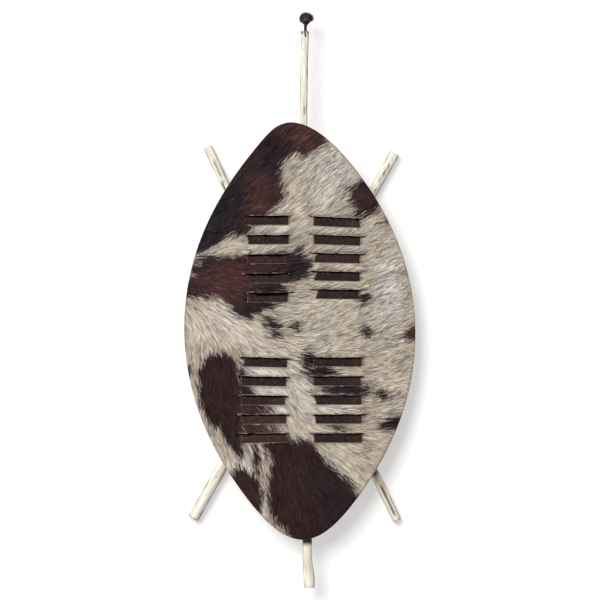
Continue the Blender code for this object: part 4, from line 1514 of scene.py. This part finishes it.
@dataclass
class Lacing:
    """The dark strips woven through the hide: their nap, the shade in the slits and the slits' pale rims."""

    ground: Ground
    slits: Slits
    coat: Coat
    rng: np.random.Generator
    nodes: tuple[str, ...]
    leather: Colour = (0.026, 0.012, 0.011)
    cut_edge: Colour = (0.22, 0.145, 0.11)
    nap: Colour = (0.038, 0.0135, 0.0130)
    nap_dark: Colour = (0.014, 0.0085, 0.010)
    nap_brown: Colour = (0.080, 0.031, 0.023)
    brown_parts: tuple[Spot, ...] = spots(
        (-56, -206, 46, 30), (-30, -160, 18, 9, 0, 0.7), (92, 122, 20, 9, 0, 0.9),
        (94, -160, 16, 76, 0, 0.6), (60, 66, 34, 9, 0, 0.4), (-54, 28, 36, 44, 0, 0.35),
    )
    # near black: painted shade in the slits' mouths
    shade: Colour = (0.0035, 0.0022, 0.0022)
    pale: Colour = (0.46, 0.335, 0.295)
    # how far the painted shade reaches down from a bar's upper edge, and up from its lower edge
    crease_shade: float = 2.0 * MM
    foot: float = 1.3 * MM
    rim: float = 0.6 * MM
    tone_wave: float = 15 * MM
    swirl_wave: float = 8 * MM
    swirl: float = 0.9
    tones: Chart = field(init=False)
    swirls: Chart = field(init=False)

    def __post_init__(self) -> None:
        """Draws where the nap is browner, and how it swirls."""
        self.tones, self.swirls = (
            random_chart(self.rng, self.ground.low, self.ground.high, wave)
            for wave in (self.tone_wave, self.swirl_wave)
        )

    def build(self) -> None:
        """Makes the strips, the nap on them, and the slits' dark mouths and pale rims."""
        self.build_strips()
        self.build_nap()
        self.build_mouths()
        self.build_rims()

    def build_strips(self) -> None:
        """Makes each strip from its solid, with softened edges that are paler than its broad sides."""
        finish = SurfaceFinish("Dark hide strip", 0.6, 0.35, mottle=0.3, mottle_scale=90.0).build()
        for node in self.nodes:
            bm = solid_copy(node)
            rounded_rim(bm, self.rim)
            bmesh.ops.triangulate(bm, faces=bm.faces)
            bmesh.ops.subdivide_edges(bm, edges=bm.edges, cuts=1, use_grid_fill=True)
            mesh = mesh_of(bm, node.replace("lacing_strip", "dark_strip"))
            broad = (np.abs(corners_of(mesh)[1]) > FLAT)[:, None]
            paint(mesh, SURFACE_COLOUR, np.where(broad, self.leather, self.cut_edge), Domain.CORNER)
            publish(mesh, finish, Slot.STRIP, node)

    def build_nap(self) -> None:
        """Lays the strips' short nap."""
        nap = Comb(
            self.nap_grows, self.ground.strip_base, self.ground, self.downwards, self.nap_colours,
            self.rng, lock_gap=2.5 * MM, strands=4, length=6.5 * MM, width=0.9 * MM, lift=0.5 * MM,
            sway=32.0, overhang=0.0, stagger=1 * MM, depth_shade=0.25, contrast=0.14,
        )
        mesh = strand_mesh("strip_nap", *nap.build())
        publish(mesh, HairFinish("Short nap", 0.55, 0.2).build(), Slot.STRIP)

    def build_mouths(self) -> None:
        """Lays the shade in the slits' mouths."""
        mouths = Comb(
            self.in_mouth, self.ground.top_base, self.ground, self.across, self.mouth_colours,
            self.rng, lock_gap=1.35 * MM, strands=3, length=6.5 * MM, width=1.0 * MM, lift=1.3 * MM,
            sway=3.0, overhang=0.0, stagger=1 * MM, depth_shade=0.0, contrast=0.1,
        )
        mesh = strand_mesh("slit_shade", *mouths.build())
        publish(mesh, HairFinish("Slit shade", 0.9, 0.0).build(), Slot.STRIP)

    def build_rims(self) -> None:
        """Lays the pale rims beside the slits."""
        rims = Comb(
            self.in_rim, self.ground.hair_base, self.ground, self.across, self.rim_colours,
            self.rng, lock_gap=1.3 * MM, strands=2, length=7 * MM, width=0.7 * MM, lift=2.0 * MM,
            sway=3.0, overhang=0.0, stagger=1 * MM, depth_shade=0.3, contrast=0.2,
        )
        mesh = strand_mesh("slit_rims", *rims.build())
        publish(mesh, HairFinish("Cut rim", 0.7, 0.15).build(), Slot.COWHIDE)

    def nap_grows(self, places: Array) -> Array:
        """Whether the nap grows at each place: where a strip shows."""
        return self.ground.kind.nearest(places) == Kind.STRIP

    def in_mouth(self, places: Array) -> Array:
        """Whether each place is in a slit's mouth."""
        return self.slits.mouth.read(places) > 0

    def in_rim(self, places: Array) -> Array:
        """Whether each place is on a slit's rim."""
        return (self.slits.rim.read(places) > 0) & (self.ground.kind.nearest(places) == Kind.HAIR)

    def downwards(self, places: Array) -> Array:
        """The nap's direction, down the strip in swirls."""
        down = np.tile(np.array([0.12, -0.993]), (len(places), 1))
        return turned(down, self.swirl * self.swirls.read(places))

    @staticmethod
    def across(places: Array) -> Array:
        """The direction along a slit."""
        return np.tile(np.array([1.0, 0.0]), (len(places), 1))

    def nap_colours(self, places: Array, chance: Array) -> Array:
        """The nap's colour: browner here, blacker there, painted shade at a bar's upper and lower edges."""
        tone = (0.62 + 0.5 * self.tones.read(places) + 0.2 * chance).clip(0, 1)[:, None]
        brown = (Coat.tone(self.brown_parts, places) * (0.7 + 0.2 * chance))[:, None]
        own = blended(blended(self.nap_dark, self.nap, tone), self.nap_brown, brown)
        # Painted shade: under a bar's upper edge, where the land above shadows it, and along its lower edge.
        dark = eased((self.slits.mouth.read(places) + self.crease_shade) / self.crease_shade)
        low = self.ground.kind.nearest(places - np.array([0.0, self.foot])) != Kind.STRIP
        return own * ((1 - 0.85 * dark) * np.where(low, 0.4, 1.0))[:, None]

    def mouth_colours(self, places: Array, chance: Array) -> Array:
        """The colour in a slit's mouth: near black, painted shade in the slit and on the bar below it."""
        return np.array(self.shade) * (1 + 0.3 * chance)[:, None]

    def rim_colours(self, places: Array, chance: Array) -> Array:
        """The rims' colour: pale cut leather, with some of the coat's own."""
        own = self.coat.colours(places, chance)
        share = (0.62 + 0.3 * chance + 0.3 * self.tones.read(places)).clip(0.1, 0.95)[:, None]
        return blended(own, self.pale, share)


# Branches


@dataclass(frozen=True)
class Mark:
    """A gouge or a stain along a branch.

    Attributes:
        start: Where it begins, as a share of the branch's length from its upper end.
        end: Where it ends.
        angle: Where it is round the branch, in degrees: 90 is on top, 0 on the right.
        width: How far round it reaches, in degrees.
        depth: How deep it is.
        colour: Its colour.
        strength: How fully its colour shows.
        broken: How much it breaks up into short pieces, from 0 to 1.
        slant: How far it turns round the branch from its start to its end, in degrees.
    """

    start: float
    end: float
    angle: float
    width: float
    depth: float = 0.3 * MM
    colour: Colour = (0.09, 0.045, 0.02)
    strength: float = 0.9
    broken: float = 0.0
    slant: float = 0.0


@dataclass
class Branch:
    """A peeled branch that follows a CAD stick: its bends, its swellings, its marks and its sawn ends."""

    node: str
    name: str
    rng: np.random.Generator
    marks: tuple[Mark, ...] = ()
    sides: int = 40
    ring_gap: float = 3.5 * MM
    head: float = 15 * MM
    unevenness: float = 0.035
    ivory: Colour = (0.86, 0.84, 0.77)
    cream: Colour = (0.77, 0.72, 0.60)
    # the colour of the painted shade along the branch's sides
    side_shade: Colour = (0.15, 0.105, 0.075)
    sawn: Colour = (0.66, 0.50, 0.38)
    rim: Colour = (0.45, 0.30, 0.22)
    solid_gap: float = 3.5 * MM
    fewest_points: int = 12

    HEAD_GAP = 0.4  # the gap between rings near the upper end, as a share of the usual one
    SAWN = 0.94  # how wide the first and the last ring are, to soften the sawn ends' edges
    RIPPLES = ((1, 0.24, 0.4), (2, 0.15, 0.5), (3, 0.09, 0.35), (5, 0.05, 0.2), (7, 0.028, 0.14))

    def axis(self) -> tuple[Array, Array]:
        """The stick's middle line and radius, read from the rings of the CAD solid.

        Returns:
            The ring centres from the upper end down, one a row, and their radii.
        """
        corners = np.unique(points_of(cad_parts[self.node].data).round(5), axis=0)
        middle = corners - corners.mean(axis=0)
        main = np.linalg.svd(middle, full_matrices=False)[2][0]
        main *= -1 if main[1] > 0 else 1
        at = middle @ main
        order = np.argsort(at)
        groups = np.split(order, np.where(np.diff(at[order]) > self.solid_gap)[0] + 1)
        rings = [corners[g] for g in groups if len(g) >= self.fewest_points]
        centres = np.array([(ring.min(axis=0) + ring.max(axis=0)) / 2 for ring in rings])
        spans = [np.linalg.norm(ring - c, axis=1) for ring, c in zip(rings, centres)]
        return centres, np.array([np.median(span) for span in spans])

    def stations(self) -> tuple[Array, Array, Array]:
        """The middle line at even gaps, smaller near the upper end.

        Returns:
            Its points, its radii there, and the distance of each from the upper end.
        """
        centres, radii = self.axis()
        run = np.concatenate([[0], np.cumsum(np.linalg.norm(np.diff(centres, axis=0), axis=1))])
        count = max(2, round(run[-1] / self.ring_gap))
        along = np.linspace(0, run[-1], count + 1)
        head = np.linspace(0, self.head, round(self.head / (self.HEAD_GAP * self.ring_gap)) + 1)
        along = np.unique(np.concatenate([head, along[along > self.head + MM]]))
        knots = np.column_stack([centres, radii])
        slopes = np.gradient(knots, run, axis=0)
        part = np.clip(np.searchsorted(run, along, side="right") - 1, 0, len(run) - 2)
        gap = (run[part + 1] - run[part])[:, None]
        t = (along[:, None] - run[part][:, None]) / gap
        smooth = (
            (2 * t ** 3 - 3 * t ** 2 + 1) * knots[part] + (t ** 3 - 2 * t ** 2 + t) * gap * slopes[part]
            + (3 * t ** 2 - 2 * t ** 3) * knots[part + 1] + (t ** 3 - t ** 2) * gap * slopes[part + 1]
        )
        return smooth[:, :3], smooth[:, 3], along

    def ripple(self, angle: Array, along: Array) -> Array:
        """How far the branch's surface is in or out: each ripple has lobes, a wave along and a size.

        Args:
            angle: Where each point is round the branch.
            along: How far it is from the upper end.

        Returns:
            The distance, as a share of the radius.
        """
        total = np.zeros(np.broadcast(angle, along).shape)
        for lobes, wave, size in self.RIPPLES:
            phase = self.rng.uniform(0, math.tau, 2)
            total += size * np.cos(lobes * angle + phase[0]) * np.cos(math.tau * along / wave + phase[1])
        return total * self.unevenness

    def mark_cover(self, mark: Mark, angle: Array, share: Array) -> Array:
        """How fully a mark covers each point.

        Args:
            mark: The mark.
            angle: Where each point is round the branch.
            share: How far it is along it, from 0 to 1.

        Returns:
            The share from 0 to 1, fading at the mark's edges.
        """
        middle, half = (mark.start + mark.end) / 2, (mark.end - mark.start) / 2
        centre = mark.angle + mark.slant * (share - middle) / (2 * half)
        off = np.abs((np.degrees(angle) - centre + 180) % 360 - 180) / (mark.width / 2)
        along = np.abs(share - middle) / half
        cover = eased(1.5 * (1 - off)) * eased(4 * (1 - along))
        if mark.broken:
            wave = np.sin(share * 190 + mark.angle + angle) * np.sin(share * 101 + 5 * angle + 1.0)
            cover = cover * eased((wave + 1.2 - 1.6 * mark.broken) * 1.6)
        return cover

    def build(self) -> None:
        """Sweeps the branch's ring along its middle line, shapes it, saws its ends and paints it."""
        centres, radii, along = self.stations()
        share = along / along[-1]
        heading = np.gradient(centres, along, axis=0)
        heading /= np.linalg.norm(heading, axis=1, keepdims=True)
        across = np.cross([0.0, 0.0, 1.0], heading)
        across /= np.linalg.norm(across, axis=1, keepdims=True)
        over = np.cross(heading, across)
        turns = math.tau * np.arange(self.sides) / self.sides
        angle, place = np.meshgrid(turns, along)
        share_grid = np.broadcast_to(share[:, None], angle.shape)
        reach = radii[:, None] * (1 + self.ripple(angle, place))
        covers = [self.mark_cover(mark, angle, share_grid) for mark in self.marks]
        for mark, cover in zip(self.marks, covers):
            reach = reach - mark.depth * cover
        reach[[0, -1]] *= self.SAWN
        points = (
            centres[:, None, :] + reach[:, :, None]
            * (np.cos(angle)[:, :, None] * across[:, None, :] + np.sin(angle)[:, :, None] * over[:, None, :])
        )
        mesh = self.sweep(points)
        paint(mesh, SURFACE_COLOUR, self.tints(angle, place, covers))
        self.map_grain(mesh, along)
        publish(mesh, WoodFinish("Peeled branch " + self.name, 0.62, 0.3).build(), Slot.WOOD, self.node)

    def sweep(self, points: Array) -> bpy.types.Mesh:
        """A closed tube through rings of points, made by drawing a circle out ring by ring.

        Args:
            points: The rings from the upper end down, as rings, points and x, y, z.

        Returns:
            The mesh, its points in the order of the rings and then the two ends' middles.
        """
        bm = bmesh.new()
        bmesh.ops.create_circle(bm, segments=self.sides, radius=1.0)
        bm.verts.ensure_lookup_table()
        ring = sorted(bm.verts, key=lambda v: math.atan2(v.co.y, v.co.x) % math.tau)
        first = list(ring)
        placed = list(ring)
        for vertex, point in zip(ring, points[0]):
            vertex.co = point
        for row in points[1:]:
            edges = [e for v in ring for e in v.link_edges if e.other_vert(v) in ring]
            made = bmesh.ops.extrude_edge_only(bm, edges=list(dict.fromkeys(edges)))["geom"]
            fresh = {v for v in made if isinstance(v, bmesh.types.BMVert)}
            ring = [next(e.other_vert(v) for e in v.link_edges if e.other_vert(v) in fresh) for v in ring]
            placed += ring
            for vertex, point in zip(ring, row):
                vertex.co = point
        order = {vertex: number for number, vertex in enumerate(placed)}
        for end in (first, ring):
            middle = sum((v.co for v in end), Vector()) / len(end)
            rim = [e for v in end for e in v.link_edges if e.other_vert(v) in end]
            made = bmesh.ops.extrude_edge_only(bm, edges=list(dict.fromkeys(rim)))["geom"]
            outer = [v for v in made if isinstance(v, bmesh.types.BMVert)]
            bmesh.ops.pointmerge(bm, verts=outer, merge_co=middle)
        bm.verts.sort(key=lambda v: order.get(v, len(order)))
        return mesh_of(bm, self.name)

    def tints(self, angle: Array, place: Array, covers: list[Array]) -> Array:
        """The branch's colours.

        Args:
            angle: Where each point is round the branch.
            place: How far it is from the upper end.
            covers: How fully each mark covers each point.

        Returns:
            A colour for each point, and two for the sawn ends' middles.
        """
        phase = self.rng.uniform(0, math.tau, 3)
        warm = 0.5 + 0.25 * np.sin(place * 37 + phase[0]) + 0.25 * np.sin(2 * angle + place * 61 + phase[1])
        warm = (0.15 + 0.75 * warm)[:, :, None]
        colours = blended(self.ivory, self.cream, warm)
        # Painted shade: the branch is darkened along both sides, more on its right.
        wander = 0.05 * np.sin(place * 83 + phase[2]) + 0.05 * np.sin(place * 211 + phase[0])
        right = eased((np.cos(angle) - 0.66 - wander) / 0.26)
        left = eased((-np.cos(angle) - 0.80 + wander) / 0.18)
        broken = 0.75 + 0.25 * np.sin(place * 97 + phase[1]) * np.sin(place * 171 + phase[2])
        sides = (np.maximum(right * broken, 0.75 * left) * 0.95)[:, :, None]
        colours = blended(colours, self.side_shade, sides)
        colours[[0, -1]] = self.rim
        for mark, cover in zip(self.marks, covers):
            amount = (cover * mark.strength)[:, :, None]
            colours = blended(colours, mark.colour, amount)
        return np.concatenate([colours.reshape(-1, 3), [self.sawn, self.sawn]])

    def map_grain(self, mesh: bpy.types.Mesh, along: Array) -> None:
        """Gives the branch a UV map for its grain: u once round it, v a metre to the metre along it.

        Args:
            mesh: The branch's mesh.
            along: How far each ring is from the upper end.
        """
        corners = numbers(mesh.loops, "vertex_index")
        inside = corners < len(along) * self.sides
        ring = np.where(inside, corners // self.sides, 0)
        u = np.where(inside, (corners % self.sides) / self.sides, 0.5)
        starts = numbers(mesh.polygons, "loop_start")
        face = np.searchsorted(starts, np.arange(len(corners)), side="right") - 1
        highest = np.maximum.reduceat(u, starts)[face]
        u = np.where((highest > 0.9) & (u < 0.1), u + 1.0, u)
        map_corners(mesh, GRAIN_MAP, u, np.where(inside, along[ring], 0.0))


@dataclass
class Tuft:
    """The fur tuft: dark strands bound in a neck above the staff's split head, that fan out like a brush.

    Attributes:
        node: The CAD solid.
        rng: The source of chance.
        throat: Where the neck ends and the fan begins, from the middle of the staff's head.
        length: The fan's length at its middle.
        falls: How much shorter the fan is at its left and its right side, as a share.
        curves: How late it gets shorter on the way there, as a power.
        fan_across: How far it fans out across the shield, in degrees.
        fan_deep: How far it fans out to the front and back, in degrees.
    """

    node: str
    rng: np.random.Generator
    strands: int = 2200
    width: float = 0.75 * MM
    dark: Colour = (0.020, 0.0125, 0.0145)
    grey: Colour = (0.165, 0.125, 0.130)
    tip: Colour = (1.25, 0.62, 0.66)
    shades: tuple[float, ...] = (0.35, 0.45, 1.3, 0.55)
    throat: tuple[float, float] = (0.9 * MM, 10.2 * MM)
    root_radius: float = 1.5 * MM
    throat_radius: float = 2.8 * MM
    length: float = 20.4 * MM
    falls: tuple[float, float] = (0.50, 0.24)
    curves: tuple[float, float] = (1.8, 4.2)
    fan_across: float = 66.0
    fan_deep: float = 32.0
    head_offset: float = 1.8 * MM
    root_depth: float = 1.0 * MM
    core_share: float = 0.55
    core_short: float = 5 * MM
    core_shade: float = 0.8

    WIDTHS = (0.6, 0.6, 1.0)  # how wide a strand is at each station but its tip

    def build(self) -> None:
        """Makes a core from the CAD solid, and the strands round it."""
        low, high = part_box(self.node)
        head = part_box("staff")
        depth = (low.z + high.z) / 2
        self.build_core(Vector(((low.x + high.x) / 2, high.y, depth)))
        self.build_strands(np.array([(low.x + high.x) / 2 - self.head_offset, head[1].y, depth]))

    def build_core(self, middle: Vector) -> None:
        """Shrinks a copy of the solid, to fill the tuft between its strands."""
        bm = solid_copy(self.node)
        for vertex in bm.verts:
            vertex.co.x = middle.x + (vertex.co.x - middle.x) * self.core_share
            vertex.co.z = middle.z + (vertex.co.z - middle.z) * self.core_share
            vertex.co.y = min(vertex.co.y, middle.y - self.core_short)
        mesh = mesh_of(bm, "tuft_core", 60.0)
        paint(mesh, HAIR_COLOUR, np.tile(np.array(self.dark) * self.core_shade, (len(mesh.vertices), 1)))
        publish(mesh, HairFinish("Tuft core", 0.8, 0.1).build(), Slot.FUR, self.node)

    def build_strands(self, head: Array) -> None:
        """Lays the strands: up the neck together, then out to the fan's edge.

        Args:
            head: The middle of the staff's sawn head.
        """
        count = self.strands
        turn = self.rng.uniform(0, math.tau, count)
        spread = np.sqrt(self.rng.uniform(0, 1, count))
        aside, ahead = spread * np.cos(turn), spread * np.sin(turn)
        tilt = math.radians(self.fan_across) * aside
        depth = math.radians(self.fan_deep) * ahead
        left, right = (fall * np.abs(aside) ** curve for fall, curve in zip(self.falls, self.curves))
        length = self.length * (1 - np.where(aside < 0, left, right)) * self.rng.normal(1, 0.025, count)
        throat = head + np.array([self.throat[0], self.throat[1], 0.0])
        round_neck = np.column_stack([aside, np.zeros(count), ahead])
        neck = throat + round_neck * self.throat_radius
        stations = [
            head + round_neck * self.root_radius - np.array([0.0, self.root_depth, 0.0]),
            neck,
            neck + self.heading(0.8 * tilt, 0.9 * depth) * (0.42 * length)[:, None],
            throat + self.heading(tilt, depth) * length[:, None],
        ]
        side = np.column_stack([np.cos(turn + math.pi / 2), np.zeros(count), np.sin(turn + math.pi / 2)])
        tone = self.rng.uniform(0, 1, count)[:, None] ** 1.8
        own = blended(self.dark, self.grey, tone)
        points, shades = [], []
        for number, place in enumerate(stations):
            shade = own * self.shades[number]
            if number == len(Comb.WIDTHS):
                points.append(place)
                shades.append(shade * np.array(self.tip))
                continue
            half = side * self.width / 2 * self.WIDTHS[number]
            points += [place - half, place + half]
            shades += [shade, shade]
        mesh = strand_mesh("tuft_strands", np.stack(points, axis=1), np.stack(shades, axis=1))
        publish(mesh, HairFinish("Tuft fur", 0.5, 0.4).build(), Slot.FUR)

    @staticmethod
    def heading(tilt: Array, depth: Array) -> Array:
        """Directions tilted from straight up the staff, across and towards the front, one a row."""
        return np.column_stack([np.sin(tilt) * np.cos(depth), np.cos(tilt) * np.cos(depth), np.sin(depth)])


@dataclass
class Rawhide:
    """The rawhide lashing and loops: the CAD bands with softened edges and a wrinkled surface."""

    nodes: dict[str, str]
    rim: float = 0.35 * MM
    wrinkle: float = 0.12 * MM
    tan: Colour = (0.50, 0.37, 0.22)
    pale: Colour = (0.66, 0.55, 0.38)

    def build(self) -> None:
        """Makes each band."""
        finish = SurfaceFinish(
            "Rawhide", 0.55, 0.4, mottle=0.2, mottle_scale=120.0, fibre_scale=600.0,
        ).build()
        for node, name in self.nodes.items():
            bm = solid_copy(node)
            bmesh.ops.dissolve_limit(bm, angle_limit=math.radians(1), verts=bm.verts, edges=bm.edges)
            rounded_rim(bm, self.rim, 2)
            bmesh.ops.triangulate(bm, faces=bm.faces)
            bmesh.ops.subdivide_edges(bm, edges=bm.edges, cuts=2, use_grid_fill=True)
            mesh = mesh_of(bm, name)
            points, normals = points_of(mesh), normals_of(mesh)
            swell = np.sin(points[:, 1] * 900 + points[:, 2] * 400) * np.sin(points[:, 0] * 700 + 1)
            share = (0.5 + 0.5 * swell)[:, None]
            points -= normals * (share * self.wrinkle)
            move_points(mesh, points)
            paint(mesh, SURFACE_COLOUR, blended(self.tan, self.pale, share))
            publish(mesh, finish, Slot.RAWHIDE, node)


@dataclass
class Studio:
    """A pale floor, soft light from the upper left and a camera straight above the shield."""

    view_width: float = 600 * 1.6 * MM
    camera_height: float = 8.0
    sharp_level: float = 45 * MM
    sensor: float = 36 * MM
    aim: tuple[float, float] = (0.4 * MM, -0.4 * MM)
    floor_size: float = 30.0
    sun_elevation: float = 52.0
    sun_azimuth: float = 128.0
    sun_strength: float = 2.9
    sun_spread: float = 34.0
    sun_colour: Colour = (1.0, 0.975, 0.94)
    sky: float = 0.52
    sky_colour: Colour = (0.97, 0.985, 1.0)
    far: float = 60.0

    def build(self) -> None:
        """Sets the floor, the lights, the view's tones and the camera."""
        self.build_floor()
        self.build_light()
        self.build_camera()

    def build_floor(self) -> None:
        """Lays the floor at height 0."""
        bm = bmesh.new()
        bmesh.ops.create_grid(bm, x_segments=4, y_segments=4, size=self.floor_size / 2)
        mesh = bpy.data.meshes.new("floor")
        bm.to_mesh(mesh)
        bm.free()
        mesh.materials.append(FloorFinish("Studio floor", 0.9, 0.1).build())
        floor = bpy.data.objects.new("floor", mesh)
        bpy.context.scene.collection.objects.link(floor)

    def build_light(self) -> None:
        """Adds a broad sun and an even sky, and keeps the tones plain."""
        data = bpy.data.lights.new("key", "SUN")
        data.energy = self.sun_strength
        data.angle = math.radians(self.sun_spread)
        data.color = self.sun_colour
        key = bpy.data.objects.new("key", data)
        azimuth, elevation = math.radians(self.sun_azimuth), math.radians(self.sun_elevation)
        level = math.cos(elevation)
        towards = Vector((math.cos(azimuth) * level, math.sin(azimuth) * level, math.sin(elevation)))
        key.rotation_euler = towards.to_track_quat("Z", "Y").to_euler()
        bpy.context.scene.collection.objects.link(key)
        world = bpy.data.worlds.new("studio")
        world.use_nodes = True
        background = world.node_tree.nodes["Background"]
        background.inputs["Color"].default_value = (*self.sky_colour, 1.0)
        background.inputs["Strength"].default_value = self.sky
        bpy.context.scene.world = world
        bpy.context.scene.view_settings.view_transform = "Standard"

    def build_camera(self) -> None:
        """Hangs the camera over the middle, with a long lens."""
        data = bpy.data.cameras.new("camera")
        data.sensor_width = self.sensor / MM
        data.lens = self.sensor / MM * (self.camera_height - self.sharp_level) / self.view_width
        data.clip_end = self.far
        camera = bpy.data.objects.new("camera", data)
        camera.location = (*self.aim, self.camera_height)
        bpy.context.scene.collection.objects.link(camera)
        bpy.context.scene.camera = camera


STRIPS = tuple(f"lacing_strip_{row}_{side}" for row in ("upper", "lower") for side in ("left", "right"))
CLEFT = (0.025, 0.017, 0.018)
SAW_SHADE = (0.06, 0.055, 0.06)
TAN_STAIN = (0.55, 0.38, 0.22)
# painted shadow that the hide's edge casts on a crossed stick where it comes out from under the hide
HIDE_SHADOW = (0.035, 0.026, 0.022)


def main() -> None:
    """Builds the shield's looks and the studio round it."""
    logging.basicConfig(level=logging.INFO, format="%(name)s: %(message)s")
    rng = np.random.default_rng(SEED)
    ground = Ground(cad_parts["cowhide"], [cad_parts[name] for name in STRIPS])
    slits = Slits(ground, rng)
    coat = Coat(ground.low, ground.high, rng)
    Pelt(ground, slits, coat, HairRun(ground.low, ground.high), rng).build()
    Lacing(ground, slits, coat, rng, STRIPS).build()
    Branch("staff", "staff_branch", rng, (
        Mark(-0.0125, 0.0125, 94, 46, 0.9 * MM, CLEFT, 1.0, slant=-50),
        Mark(-0.0125, 0.0125, 270, 46, 0.9 * MM, CLEFT, 1.0),
        Mark(-0.005, 0.005, 32, 80, 0.0, SAW_SHADE, 1.0),
        Mark(-0.006, 0.006, 148, 84, 0.0, SAW_SHADE, 1.0),
        Mark(0.02, 0.085, 10, 50, 0.2 * MM, (0.16, 0.10, 0.07), 0.8, 0.7),
        Mark(0.135, 0.15, 80, 40, 0.2 * MM, (0.20, 0.15, 0.12), 0.8),
        Mark(0.955, 0.985, 60, 50, 0.1 * MM, (0.45, 0.36, 0.25), 0.5, 0.5),
        Mark(0.90, 1.10, 90, 330, 0.0, (0.66, 0.62, 0.49), 0.6),
        # painted shadow of the hide's lower point across the staff
        Mark(0.88, 0.9245, 90, 340, 0.0, (0.012, 0.010, 0.009), 1.0),
    )).build()
    Branch("crossed_stick_left", "crossed_branch_left", rng, (
        Mark(0.03, 0.105, 97, 26, 0.3 * MM, (0.12, 0.08, 0.055), 0.85, 0.25),
        Mark(0.090, 0.118, 125, 40, 0.2 * MM, (0.10, 0.06, 0.04), 0.9),
        Mark(0.86, 0.94, 80, 90, 0.0, TAN_STAIN, 0.8),
        Mark(0.90, 0.992, 88, 46, 0.9 * MM),
        # painted shadow of the hide's edge on the stick
        Mark(0.83, 0.882, 110, 200, 0.0, HIDE_SHADOW, 0.9),
    )).build()
    Branch("crossed_stick_right", "crossed_branch_right", rng, (
        Mark(0.005, 0.125, 84, 44, 0.3 * MM, (0.22, 0.13, 0.085), 0.95, 0.6),
        Mark(0.89, 0.99, 170, 40, 0.2 * MM, (0.25, 0.17, 0.11), 0.7, 0.85),
        # painted shadow of the hide's edge on the stick
        Mark(0.112, 0.15, 110, 200, 0.0, HIDE_SHADOW, 0.8),
    )).build()
    Tuft("fur_tuft", rng).build()
    Rawhide({
        "crossing_lashing": "thong_lashing", "staff_loop_upper": "rawhide_loop_upper",
        "staff_loop_lower": "rawhide_loop_lower",
    }).build()
    Studio().build()
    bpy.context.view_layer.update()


if __name__ == "__main__":
    main()
